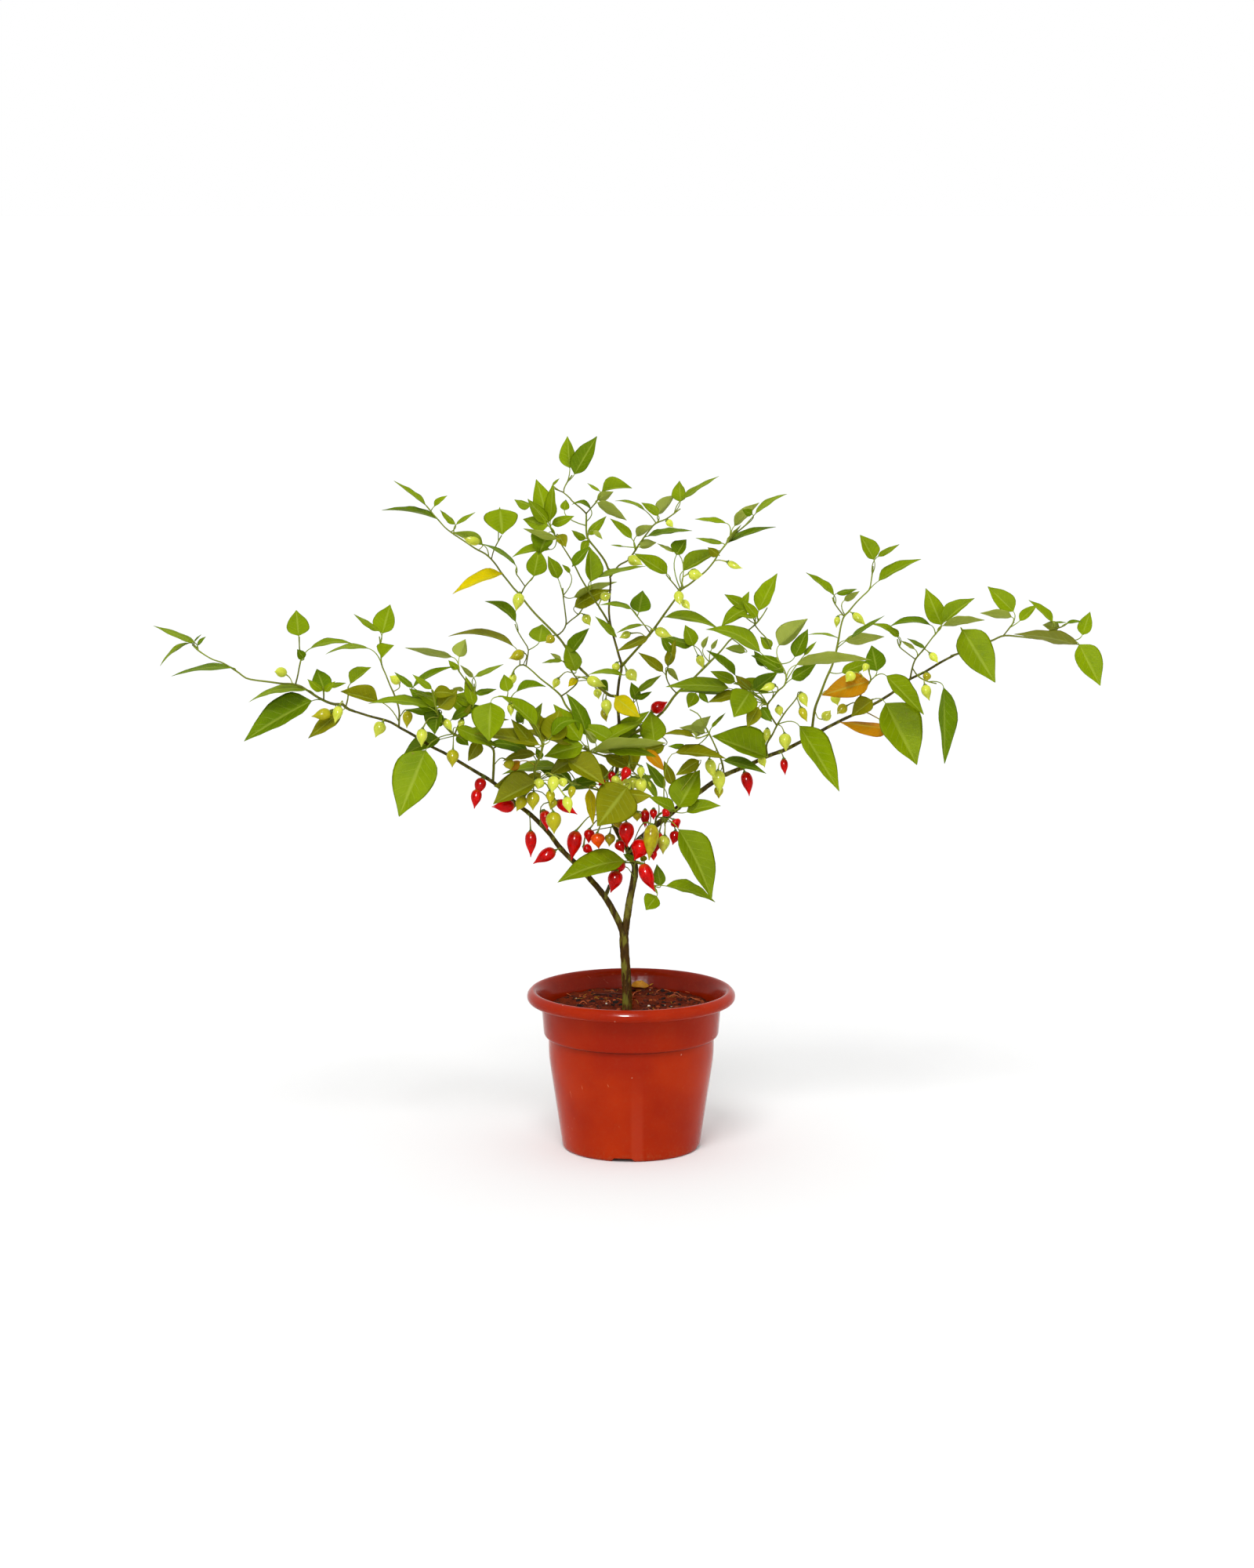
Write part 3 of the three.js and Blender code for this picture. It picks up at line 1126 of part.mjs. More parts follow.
// A bunch hangs from the front of the stem that carries it. Its stalks leave a short common
// stalk, which leans down and forward, one after the other.
function makeBunch(stem, bunch) {
  const place = onStem(stem, ...bunch.root);
  const root = place.centre.clone()
    .addScaledVector(VIEW_AWAY, -(place.radius + GAP + STALK_RADIUS));
  const lean = VIEW_UP.clone().multiplyScalar(-STALK_FALL)
    .addScaledVector(VIEW_AWAY, -STALK_FORWARD);
  const pieces = bunch.fruits.map((row, i) => makeFruit(
    root.clone().addScaledVector(lean, i * STALK_SPACING), STALK_RADIUS / 2, root.y, row));
  if (pieces.length > 1) {
    const stalkLength = pieces.length * STALK_SPACING;
    const stalk = new THREE.CylinderGeometry(STALK_RADIUS, STALK_RADIUS, stalkLength, 4);
    stalk.applyQuaternion(
      new THREE.Quaternion().setFromUnitVectors(new THREE.Vector3(0, 1, 0), lean));
    const middle = root.clone().addScaledVector(lean, stalkLength / 2 - STALK_SPACING / 3);
    stalk.translate(middle.x, middle.y, middle.z);
    pieces.push(toSolid(stalk));
  }
  return mainBody(joinAll(pieces));
}

// ---- The plant ----

const stems = new Map(STEMS.map((row) => [row[0], makeStem(row)]));
const stemsOf = (node) => [...stems.values()].filter((stem) => stem.node === node);

const wood = mainBody(joinAll(stemsOf('woody_stems').map((stem) => stem.tube(0))));
const woodClearance = joinAll(stemsOf('woody_stems').map((stem) => stem.tube(GAP)));

function makeSpray(node) {
  const pieces = [];
  for (const [name, stem] of stems) {
    if (stem.node === node) {
      pieces.push(stem.tube(0));
      pieces.push(...(LEAVES[name] ?? []).map((row) => makeLeaf(stem, row)));
      pieces.push(...(FRUITS[name] ?? []).map((row) => {
        const [ax, ay, ...fruit] = row;
        const place = onStem(stem, ax, ay);
        const foot = PETIOLE_FOOT_SHARE * place.radius;
        return makeFruit(place.centre, foot, place.centre.y, fruit);
      }));
    }
  }
  return mainBody(joinAll(pieces).subtract(woodClearance));
}

const POT_MATERIAL = { color: 0xa62a12, roughness: 0.35, metalness: 0 };
const SOIL_MATERIAL = { color: 0x3a1c14, roughness: 0.95, metalness: 0 };
const BARK_MATERIAL = { color: 0x8c8a3c, roughness: 0.8, metalness: 0 };
const FOLIAGE_MATERIAL = { color: 0x7d9a00, roughness: 0.5, metalness: 0, side: THREE.DoubleSide };
const RIPE_MATERIAL = { color: 0xc41205, roughness: 0.2, metalness: 0 };
const PALE_MATERIAL = { color: 0xb9c43a, roughness: 0.3, metalness: 0 };

const material = (settings) => new THREE.MeshStandardMaterial(settings);

const plant = new THREE.Group();
plant.add(toMesh('pot', makePot(), material(POT_MATERIAL)));
plant.add(toMesh('soil', makeSoil(), material(SOIL_MATERIAL)));
plant.add(toMesh('woody_stems', wood, material(BARK_MATERIAL)));
const sprayNodes = new Set([...stems.values()].map((stem) => stem.node));
sprayNodes.delete('woody_stems');
for (const node of sprayNodes) {
  plant.add(toMesh(node, makeSpray(node), material(FOLIAGE_MATERIAL)));
}
for (const [name, bunch] of Object.entries(BUNCHES)) {
  const colour = name.startsWith('pale') ? PALE_MATERIAL : RIPE_MATERIAL;
  plant.add(toMesh(name, makeBunch(stems.get(bunch.host), bunch), material(colour)));
}

export default plant;
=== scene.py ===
# A potted chilli pepper plant: a glossy nursery pot, its soil, woody stems, leafy sprays with green
# fruit, and bunches of ripe and pale fruit. The rows below hold millimetres and front-view places,
# and the meshes are made in metres.
import math

import bpy
import numpy as np
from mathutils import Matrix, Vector, noise


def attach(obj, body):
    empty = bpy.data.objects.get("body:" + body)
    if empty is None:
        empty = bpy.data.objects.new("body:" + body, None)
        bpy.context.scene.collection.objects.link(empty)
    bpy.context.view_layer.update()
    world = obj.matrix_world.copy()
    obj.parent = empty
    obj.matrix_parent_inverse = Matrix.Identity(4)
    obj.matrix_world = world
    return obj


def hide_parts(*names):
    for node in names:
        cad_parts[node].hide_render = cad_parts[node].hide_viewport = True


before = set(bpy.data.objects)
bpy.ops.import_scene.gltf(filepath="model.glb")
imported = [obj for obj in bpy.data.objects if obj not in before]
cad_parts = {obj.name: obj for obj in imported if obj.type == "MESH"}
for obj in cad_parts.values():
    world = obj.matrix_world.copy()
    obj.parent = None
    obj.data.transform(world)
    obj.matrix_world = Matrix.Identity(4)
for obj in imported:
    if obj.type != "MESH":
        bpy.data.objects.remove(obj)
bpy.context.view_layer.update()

MM = 0.001
SEED = 20261

# The front view: the eye's place in mm, how far it looks down, and the view's scale and centre in a
# picture of 1600 x 2000. A front-view place is [px, py], and a depth is mm behind the pot's middle.
EYE = np.array([-4.0, -3700.0, 971.06])
PITCH = math.radians(9.4707)
FOCAL_PX = 5021.8
VIEW_CENTRE = (800, 1000)
PICTURE_HEIGHT = 2000
SENSOR_MM = 36
RIGHT = np.array([1.0, 0.0, 0.0])
UP = np.array([0.0, math.sin(PITCH), math.cos(PITCH)])
AWAY = np.array([0.0, math.cos(PITCH), -math.sin(PITCH)])

# Stems: name, node, radius in mm at the root and at the end, and [px, py, depth] points.
STEMS = [
    ["trunk", "woody_stems", 5.4, 4.4, [
        [800,1349,0], [800,1302,0], [800,1270,0], [799,1240,0], [797,1210,0], [796,1186,0]]],
    ["left_lead", "woody_stems", 3.4, 1.1, [
        [797,1194,0], [787,1171,-1], [771,1143,-3], [745,1112,-7], [716,1083,-12], [700,1062,-16],
        [678,1040,-22], [655,1022,-27], [632,1000,-34], [600,980,-42], [568,961,-48], [550,952,-52],
        [528,938,-55], [510,928,-57], [498,921,-58], [470,913,-60], [448,906,-61]]],
    ["stub", "woody_stems", 2.2, 1.7, [[770,1146,-3], [774,1139,-3], [778,1129,-3]]],
    ["right_lead", "woody_stems", 3.7, 1.1, [
        [797,1192,0], [800,1170,0], [804,1145,1], [809,1120,2], [810,1104,3], [804,1090,4],
        [812,1075,5], [824,1064,6], [838,1052,7], [858,1036,8], [875,1022,10], [890,1012,12],
        [905,1001,14], [922,990,16], [940,982,18], [955,976,20], [978,965,23], [1000,957,26],
        [1022,946,28], [1050,931,31], [1075,918,34], [1090,911,35], [1115,898,36], [1138,884,37],
        [1160,867,38], [1180,857,36], [1200,845,34], [1217,836,32]]],
    ["leader", "woody_stems", 2.6, 0.9, [
        [811,1108,3], [805,1092,4], [797,1078,5], [789,1064,6], [782,1046,7], [784,1010,9],
        [787,985,11], [789,958,13], [790,925,15], [788,900,17], [788,885,18], [790,868,19],
        [793,850,20], [789,834,21], [784,816,22], [779,797,23], [777,780,24], [778,760,25],
        [779,740,25], [777,725,25]]],
    ["left_tip", "left_tip_spray", 1.3, 0.6, [
        [451,907,-61], [443,904,-61], [438,899,-62], [425,898,-63], [412,893,-64], [400,886,-65],
        [388,878,-66], [376,873,-67], [360,872,-68], [345,870,-69], [322,867,-70], [314,865,-70],
        [303,857,-71], [292,850,-72], [283,845,-72], [271,841,-72], [252,829,-72], [245,822,-72]]],
    ["left_twig_a", "left_tip_spray", 0.8, 0.6, [
        [377,873,-67], [380,861,-72], [382,850,-76], [384,840,-78], [382,826,-80], [382,812,-82]]],
    ["left_twig_c", "left_tip_spray", 0.8, 0.6, [[441,902,-62], [444,890,-56], [444,876,-50]]],
    ["left_twig_d", "left_tip_spray", 0.8, 0.6, [[413,893,-64], [413,884,-70], [412,876,-76]]],
    ["left_twig_b", "left_upper_spray", 0.9, 0.6, [
        [509,926,-57], [509,905,-50], [503,886,-42], [498,875,-37], [492,860,-30], [487,848,-24],
        [486,836,-20], [485,820,-15], [484,812,-12]]],
    ["left_mid", "left_mid_spray", 1.3, 0.7, [
        [629,996,-35], [630,970,-40], [629,955,-44], [617,948,-50], [600,942,-58], [580,937,-66],
        [568,926,-72], [560,914,-78], [556,902,-84], [551,880,-92]]],
    ["left_mid_b", "left_mid_spray", 0.8, 0.6, [
        [580,937,-66], [586,922,-60], [591,912,-56], [600,900,-52], [605,888,-50], [605,872,-50]]],
    ["left_mid_c", "left_mid_spray", 0.8, 0.6, [[629,955,-44], [640,948,-40], [655,942,-36]]],
    ["inner_left", "inner_left_spray", 1.4, 0.6, [
        [664,1030,-25], [670,1014,-34], [683,998,-42], [682,982,-50], [690,962,-58], [692,948,-62],
        [686,936,-66], [680,925,-70], [668,908,-72], [655,897,-74], [646,889,-74], [636,888,-74]]],
    ["centre_a", "centre_spray", 1.1, 0.7, [
        [788,972,12], [770,964,2], [752,958,-8], [745,953,-12]]],
    ["centre_low", "centre_low_spray", 1.2, 0.7, [
        [784,1012,9], [765,1008,-6], [745,1003,-16], [728,998,-26]]],
    ["mid_left", "mid_left_spray", 1.5, 0.6, [
        [788,950,14], [770,945,26], [752,934,36], [738,918,46], [722,900,56], [716,888,62],
        [703,876,70], [690,866,76], [678,855,82], [668,848,88], [662,849,90], [655,856,92],
        [652,864,92]]],
    ["mid_left_up", "mid_left_spray", 0.7, 0.6, [
        [671,850,86], [673,838,90], [674,828,93], [667,816,96], [660,804,99], [657,796,100]]],
    ["mid_left_side", "mid_left_spray", 0.8, 0.6, [
        [716,888,62], [726,881,56], [737,869,48], [731,859,42], [726,851,38]]],
    ["upper_left", "upper_left_spray", 1.4, 0.6, [
        [788,888,18], [778,887,24], [770,881,28], [760,873,34], [750,862,40], [738,850,46],
        [727,834,52], [716,817,58], [705,805,62], [694,794,66], [683,783,70], [672,770,74],
        [664,759,78], [656,751,81], [648,741,84], [640,731,87], [631,718,90], [620,707,93],
        [607,700,96], [592,690,98], [577,680,100], [568,673,101], [560,664,102], [552,655,103],
        [543,644,104]]],
    ["upper_left_b", "upper_left_spray", 0.8, 0.6, [
        [710,811,60], [717,806,58], [722,797,56], [721,780,50], [719,764,44], [718,750,40]]],
    ["upper_left_c", "upper_left_spray", 0.7, 0.6, [
        [722,797,56], [730,790,60], [738,784,64], [744,775,68]]],
    ["upper_left_d", "upper_left_spray", 0.8, 0.6, [
        [664,759,78], [670,748,72], [676,741,68], [681,735,66]]],
    ["upper_left_e", "upper_left_spray", 0.6, 0.6, [
        [670,748,72], [663,738,68], [658,730,64], [659,723,62]]],
    ["upper_left_f", "upper_left_spray", 0.6, 0.6, [
        [627,713,91], [630,702,86], [636,690,80], [640,683,77]]],
    ["crown", "crown_spray", 1.1, 0.8, [
        [777,729,25], [772,716,24], [765,706,23], [757,696,22], [750,687,21], [748,676,20],
        [748,665,19], [748,655,18]]],
    ["crown_a", "crown_spray", 0.7, 0.6, [[748,655,18], [755,647,14], [761,640,10], [766,629,6]]],
    ["crown_b", "crown_spray", 0.8, 0.6, [
        [748,655,18], [741,648,22], [731,640,26], [725,633,29], [719,628,32], [721,620,34],
        [725,613,36], [730,606,38]]],
    ["crown_c", "crown_spray", 0.6, 0.6, [[719,628,32], [712,625,30], [705,619,28]]],
    ["crown_left", "crown_left_spray", 1, 0.6, [
        [779,799,23], [772,786,16], [765,775,10], [757,763,2], [750,752,-6], [741,737,-14],
        [733,721,-22], [725,708,-30], [716,694,-36], [709,684,-42], [703,674,-46]]],
    ["crown_right", "crown_right_spray", 0.9, 0.6, [
        [778,737,25], [790,721,18], [801,715,12], [808,706,6], [815,695,-2], [822,685,-10],
        [829,676,-18], [836,668,-24], [850,662,-32], [860,655,-38], [868,649,-42]]],
    ["centre_right", "centre_right_spray", 1.3, 0.6, [
        [793,850,20], [801,841,16], [810,831,10], [818,822,4], [829,809,-4], [833,804,-7],
        [841,793,-14], [848,783,-20], [856,772,-28], [863,762,-34], [868,753,-40], [880,745,-48],
        [890,737,-54], [900,729,-60], [911,716,-68], [917,706,-72], [924,697,-76], [934,684,-82],
        [944,676,-86], [957,665,-90]]],
    ["centre_right_b", "centre_right_spray", 0.7, 0.6, [
        [867,754,-40], [860,745,-44], [853,737,-48], [850,733,-50]]],
    ["centre_right_c", "centre_right_spray", 0.7, 0.6, [
        [830,808,-4], [821,796,-2], [813,786,0], [806,777,2]]],
    ["right_crown", "right_crown_spray", 1.7, 0.6, [
        [789,940,14], [800,938,24], [815,932,34], [832,920,46], [848,905,58], [862,886,70],
        [880,870,80], [898,852,88], [905,845,90], [920,830,95], [933,815,99], [950,807,103],
        [963,797,107], [973,785,110], [979,775,112]]],
    ["right_crown_b", "right_crown_spray", 0.7, 0.6, [
        [963,797,107], [970,806,100], [977,813,94], [983,822,88]]],
    ["low_right", "low_right_spray", 1.1, 0.7, [
        [836,1054,7], [838,1042,-4], [846,1036,-9.5], [858,1034,-11.5], [868,1032,-11.5]]],
    ["low_spray_stem", "low_spray", 1.1, 0.7, [
        [810,1100,3], [822,1104,-8], [829,1120,-14], [838,1139,-20]]],
    ["inner_right", "inner_right_spray", 0.9, 0.6, [
        [924,989,16], [921,972,6], [914,955,-2], [905,936,-8], [897,922,-12], [891,911,-14],
        [880,905,-14]]],
    ["right_inner", "right_inner_spray", 1, 0.6, [
        [979,966,23], [978,950,17], [985,938,12], [992,924,6], [1003,907,0], [1013,895,-6],
        [1022,882,-12]]],
    ["right_inner_b", "right_inner_spray", 0.9, 0.6, [
        [991,925,7], [983,912,0], [979,900,-6], [986,890,-12], [993,881,-18], [1001,874,-24],
        [1003,862,-28], [998,850,-30], [990,838,-30]]],
    ["right_mid", "right_mid_spray", 1.4, 0.6, [
        [1035,941,30], [1037,922,36], [1040,903,42], [1046,887,50], [1054,866,60], [1062,848,70],
        [1067,830,80], [1070,815,86], [1073,798,92], [1077,786,97], [1082,781,99], [1092,769,104],
        [1102,759,108], [1109,752,111], [1112,738,113], [1114,722,115]]],
    ["right_mid_b", "right_mid_spray", 0.7, 0.6, [
        [1077,786,97], [1070,777,100], [1064,768,102], [1062,762,103]]],
    ["right_low", "right_low_spray", 0.9, 0.6, [
        [1098,908,35], [1096,893,26], [1103,878,18], [1111,868,12], [1109,858,8], [1107,850,6]]],
    ["right_upper", "right_upper_spray", 0.9, 0.6, [
        [1161,867,38], [1164,852,30], [1168,841,22], [1178,829,12], [1190,813,4], [1196,806,0],
        [1202,798,-4]]],
    ["right_upper_b", "right_upper_spray", 0.6, 0.6, [
        [1168,841,22], [1156,832,24], [1147,824,26], [1145,815,27]]],
    ["right_upper_c", "right_upper_spray", 0.7, 0.6, [
        [1164,852,30], [1172,863,20], [1183,869,16], [1195,872,14]]],
    ["right_tip", "right_tip_spray", 1.1, 0.7, [
        [1213,837,32], [1222,834,31], [1235,829,30], [1252,822,28], [1266,817,26], [1280,811,24],
        [1300,812,20], [1320,814,16], [1338,812,12], [1356,816,8], [1371,820,6]]],
    ["right_tip_b", "right_tip_spray", 0.7, 0.6, [[1280,811,24], [1288,801,28], [1294,793,31]]],
    ["right_tip_c", "right_tip_spray", 0.6, 0.6, [
        [1338,812,12], [1338,805,8], [1346,802,4], [1356,799,0], [1362,795,-4]]],
    ["left_mid_d", "left_mid_spray", 0.7, 0.6, [
        [604,886,-50], [594,868,-54], [585,855,-58], [582,848,-60]]],
    ["right_crown_c", "right_crown_spray", 0.7, 0.6, [
        [863,884,71], [855,875,62], [850,862,54], [853,848,48], [857,834,42]]],
]

# Leaves on each stem: the place on the stem, the blade's base and tip, how far the midrib's middle
# bends to the upper side, the widths seen above and below the midrib, in mm how far behind its root
# the base lies and how far behind the base the tip lies, which face is seen (1 upper, -1 lower),
# and a tone (0 fresh green, 1 deep green, 2 olive, 3 yellow, 4 orange, 5 pale).
LEAVES = {
    "left_tip": [
        [247,824,249,820,195,798,1,3,5,0,-20,1,0], [246,823,241,820,204,850,4,4,4,3,12,1,0],
        [250,827,252,823,263,812,1,3,3,2,10,1,1], [248,824,248,818,257,809,0,1.5,1.5,-2,-8,1,1],
        [303,857,298,852,218,863,5,5,5,-3,-10,1,1], [403,888,393,880,317,896,8,6,6,-3,-12,1,0],
        [414,894,398,894,311,946,2,24,13,-8,-20,1,1], [441,903,437,906,393,942,0,12,10,-6,-14,1,2]],
    "left_twig_a": [
        [382,814,381,811,378,778,0,15,14,2,31,1,0], [384,842,388,840,379,828,0,6,6,-3,-10,1,1],
        [384,846,396,827,450,821,5,5,5,4,14,1,0]],
    "left_twig_d": [
        [413,884,414,880,404,853,0,13,12,2,22,1,1], [413,882,412,881,392,866,0,3,7,-3,-14,1,0],
        [413,882,420,875,442,871,0,3,4,-3,12,1,0], [413,884,414,882,428,869,0,5,5,-5,-12,1,0]],
    "left_twig_c": [[444,877,447,872,474,851,0,14,2,3,14,1,0]],
    "left_twig_b": [
        [486,845,470,827,415,835,6,4,4,-4,-14,1,0], [485,818,488,808,498,771,0,16,13,3,28,1,0],
        [484,814,484,805,451,783,0,3,5,-4,-16,1,0], [487,846,487,839,503,823,0,15,2,-5,20,1,0],
        [508,921,482,894,434,882,0,16,5,-8,-14,1,2]],
    "left_mid": [
        [559,914,547,902,469,898,6,8,5,-10,-14,1,0], [556,904,556,905,522,878,0,10,12,8,16,1,1],
        [553,888,527,877,503,857,0,3,5,4,10,1,1], [553,888,527,876,580,850,3,7,3,8,16,1,1],
        [552,885,551,879,526,860,0,4,5,-6,-12,1,0], [558,904,560,903,584,878,0,12,13,2,14,1,2],
        [560,914,560,906,555,937,0,17,7,6,-16,1,1], [580,936,582,928,636,952,0,9,9,-6,-14,1,0],
        [600,942,612,945,597,971,0,8,10,-8,-10,1,2], [580,938,583,937,598,951,0,8,7,8,10,1,1],
        [580,938,543,957,509,1042,0,30,27,-16,-14,1,0], [582,938,562,943,514,964,2,15,7,12,8,1,1],
        [560,914,558,905,517,905,0,3,8,16,8,1,1], [600,942,606,938,650,918,6,8,7,8,12,1,2],
        [570,928,576,918,624,904,6,7,7,8,12,1,1], [556,902,560,900,531,883,1,9,8,5,12,1,0],
        [553,888,553,884,580,886,2,9,8,5,10,1,2], [568,926,567,922,547,917,2,8,8,4,-8,1,1],
        [600,942,597,944,625,928,2,9,10,4,-8,1,0]],
    "left_mid_b": [
        [600,902,604,900,594,862,0,8,7,-6,12,1,0], [605,882,606,884,634,879,0,4,5,4,10,1,1],
        [592,911,598,908,571,888,0,10,8,4,12,1,0], [600,895,592,880,577,878,0,3,3,10,8,-1,5],
        [591,911,592,915,601,898,0,4,4,-4,-8,1,2], [605,874,604,864,587,848,0,3,4,2,8,-1,5],
        [606,874,606,863,643,847,0,4,4,-2,-12,1,0], [600,900,604,898,577,887,1,10,8,5,10,1,0]],
    "left_mid_d": [
        [583,852,577,838,516,826,0,5,4,4,16,-1,5], [584,852,586,838,594,815,0,12,7,4,14,-1,5],
        [584,855,584,854,572,842,0,4,5,-3,-8,1,0]],
    "inner_left": [
        [683,998,684,998,629,1026,0,26,7,-8,-14,1,2], [683,998,680,997,630,1003,0,16,15,-4,-10,1,2],
        [688,940,684,926,638,887,2,15,4,-6,-10,1,0], [640,888,626,896,624,946,0,24,20,-8,-14,1,0],
        [691,950,688,950,604,936,3,12,7,-8,-16,1,2], [690,950,682,953,652,917,0,9,9,-4,-10,1,2],
        [692,948,702,944,714,905,0,18,18,6,30,1,2], [646,889,648,882,643,860,0,9,9,2,18,1,0],
        [650,892,659,882,697,876,3,9,2,3,14,1,1], [668,908,666,922,659,907,0,6,6,8,10,1,1],
        [684,975,683,962,641,971,3,7,6,-4,-10,1,2], [684,975,664,971,641,975,-1,3,10,6,4,1,4],
        [690,962,691,968,684,954,0,5,5,4,6,1,1], [691,945,684,925,692,896,0,9,3,8,10,1,0],
        [684,970,674,958,618,950,5,9,8,5,10,1,1], [690,955,694,946,660,902,7,10,9,8,14,1,2],
        [685,985,690,986,664,1018,4,8,8,6,10,1,2], [690,948,704,938,738,920,8,9,8,10,12,1,1]],
    "centre_a": [
        [745,953,741,945,706,898,0,14,12,-6,20,1,0], [746,953,744,951,694,965,0,14,12,-8,-14,1,0],
        [744,952,735,951,696,944,4,6,5,3,-4,1,1], [755,958,782,946,742,924,0,12,8,4,10,1,0],
        [755,958,760,948,746,930,0,6,5,2,4,-1,5], [772,965,772,963,810,982,0,7,8,-4,-6,1,2],
        [750,957,757,957,851,948,2,11,7,-4,-14,-1,5], [747,954,724,970,772,1001,0,24,8,-14,-14,1,2],
        [745,953,733,950,660,932,3,8,7,-6,-12,1,2], [748,955,742,966,700,990,2,13,11,-7,-10,1,2],
        [752,957,768,948,822,921,3,9,7,5,8,1,0], [750,956,748,938,722,884,4,11,9,8,14,1,1],
        [758,959,776,957,838,966,5,8,9,-3,-8,1,0], [746,953,740,944,682,916,6,8,7,6,12,1,2]],
    "centre_low": [
        [784,1012,800,1004,762,1054,0,28,29,-39,-31,1,2],
        [784,1012,794,1012,832,1015,0,6,14,-34,-10,1,2],
        [765,1008,752,1006,757,1053,0,5,8,-14,-8,1,3], [728,998,713,978,640,988,4,9,5,13,15,1,0],
        [735,1001,733,1000,767,994,0,8,5,6,6,1,1], [730,999,730,997,688,981,0,9,9,8,8,1,1],
        [770,1010,776,1000,742,974,6,9,8,12,12,1,2], [781,1012,792,1010,838,990,4,8,7,10,12,1,0],
        [765,1008,762,1000,716,1010,5,8,8,10,12,1,1]],
    "mid_left": [[664,848,655,824,571,812,9,6,4,4,16,1,2]],
    "mid_left_up": [
        [657,797,658,793,618,767,5,9,4,0,14,1,1], [674,828,688,819,692,796,0,15,16,4,34,1,0]],
    "mid_left_side": [
        [731,859,718,843,691,846,1,3,3,-6,-12,1,0], [727,852,716,842,702,833,0,3,3,4,8,-1,5],
        [727,850,727,833,752,801,0,12,5,4,24,1,1], [728,853,735,856,722,822,0,12,11,-6,14,1,0],
        [733,866,765,868,776,882,0,7,5,6,8,1,1], [737,869,736,866,725,876,0,6,4,-4,-4,1,3]],
    "upper_left": [
        [544,646,543,644,502,613,0,5,2,2,12,1,0], [550,652,554,646,571,632,0,6,2,-2,8,1,0],
        [560,664,556,661,486,651,4,6,1,-4,-12,1,1], [577,680,581,669,561,650,0,3,5,2,10,1,0],
        [578,680,582,669,607,653,0,4,3,-2,-10,1,0], [622,709,616,695,577,679,0,11,2,-6,-12,-1,0],
        [641,732,641,732,577,758,2,14,3,-3,-12,1,3], [788,888,785,889,817,915,0,11,13,-10,-14,1,3]],
    "upper_left_b": [
        [717,748,712,738,699,709,0,10,7,-3,22,1,0], [719,745,727,731,717,720,0,4,2,2,4,1,0],
        [718,755,732,762,788,742,2,5,5,10,16,-1,5]],
    "upper_left_c": [[738,783,733,774,781,752,3,9,11,-6,-14,1,2]],
    "upper_left_d": [[679,738,681,735,688,700,0,12,15,2,26,1,0]],
    "upper_left_e": [[659,724,658,721,610,693,5,4,3,0,12,1,1]],
    "upper_left_f": [[640,684,638,649,641,682,0,22,22,22,-30,1,0]],
    "crown": [
        [749,686,748,687,729,676,0,3,7,-4,-14,1,0], [750,687,750,682,774,658,0,6,7,3,14,1,0],
        [750,687,750,689,741,707,0,6,5,-8,-16,1,0], [749,684,757,677,769,688,0,4,3,-6,-6,1,5],
        [748,653,754,650,729,644,6,4,3,-6,-8,1,1], [748,670,720,651,722,637,0,6,6,6,10,1,0]],
    "crown_a": [
        [766,630,765,626,749,616,0,2,3,3,8,1,0], [766,629,768,627,807,623,2,15,2,-4,-12,1,0],
        [763,636,763,638,783,627,0,7,5,14,12,-1,5], [761,640,762,641,800,664,0,7,6,-6,-14,-1,5]],
    "crown_b": [
        [728,609,727,597,724,556,0,8,13,4,20,1,0], [730,608,733,605,762,556,0,15,11,-4,16,1,1]],
    "crown_c": [[706,620,705,619,714,610,0,2,2,0,4,1,0]],
    "crown_left": [
        [703,674,700,666,684,611,0,15,14,6,26,1,0], [703,674,702,665,706,615,0,8,7,-4,16,1,0],
        [703,674,698,668,673,636,0,9,8,-8,10,1,0], [704,675,699,671,667,662,0,10,10,-12,12,1,0],
        [711,686,711,687,667,674,0,4,5,-18,-8,-1,5], [707,681,700,680,687,708,0,19,11,10,-20,1,1],
        [711,686,702,701,653,711,4,8,5,4,-12,1,0], [703,674,704,669,733,658,0,7,7,4,10,1,0],
        [710,684,712,682,722,698,0,9,6,-6,-8,1,2], [731,722,731,722,753,697,0,9,5,-6,12,1,1],
        [751,752,754,742,752,697,0,16,7,-10,18,1,0], [778,797,785,812,759,786,0,6,4,-8,-10,1,0],
        [703,674,677,645,656,637,0,3,9,-14,6,1,0], [750,752,757,738,825,722,2,5,4,-5,-6,1,0]],
    "crown_right": [
        [808,702,806,687,778,661,0,7,5,-4,10,1,0], [810,700,812,684,834,670,0,9,3,4,10,-1,5],
        [837,667,823,651,784,639,4,3,3,4,12,1,0], [838,666,840,658,818,641,0,8,4,-3,6,1,0],
        [839,666,840,656,862,631,0,12,3,6,10,-1,5], [868,648,868,640,867,613,0,8,11,3,26,1,0],
        [868,648,870,637,918,607,1,6,3,-3,-14,1,0], [822,685,826,684,884,677,2,6,4,-5,-14,1,1],
        [815,695,816,698,838,692,0,8,4,-4,-6,-1,5], [808,696,795,697,779,695,0,1.5,1.5,2,4,1,0]],
    "centre_right_b": [[850,733,851,732,809,706,0,13,7,-6,-10,1,0]],
    "centre_right": [
        [868,752,863,708,876,688,0,13,7,10,14,1,1], [868,752,862,704,838,693,0,2,4,12,8,1,5],
        [872,751,872,728,919,702,0,17,3,-6,14,1,0], [918,706,917,708,903,698,0,5,7,-6,-4,1,2],
        [924,697,922,693,887,686,0,4,4,4,12,1,0], [930,688,926,667,886,662,0,5,3,6,10,1,0],
        [934,684,937,671,969,641,0,10,3,10,16,-1,5], [958,662,960,656,947,650,0,5,5,-3,-6,1,1],
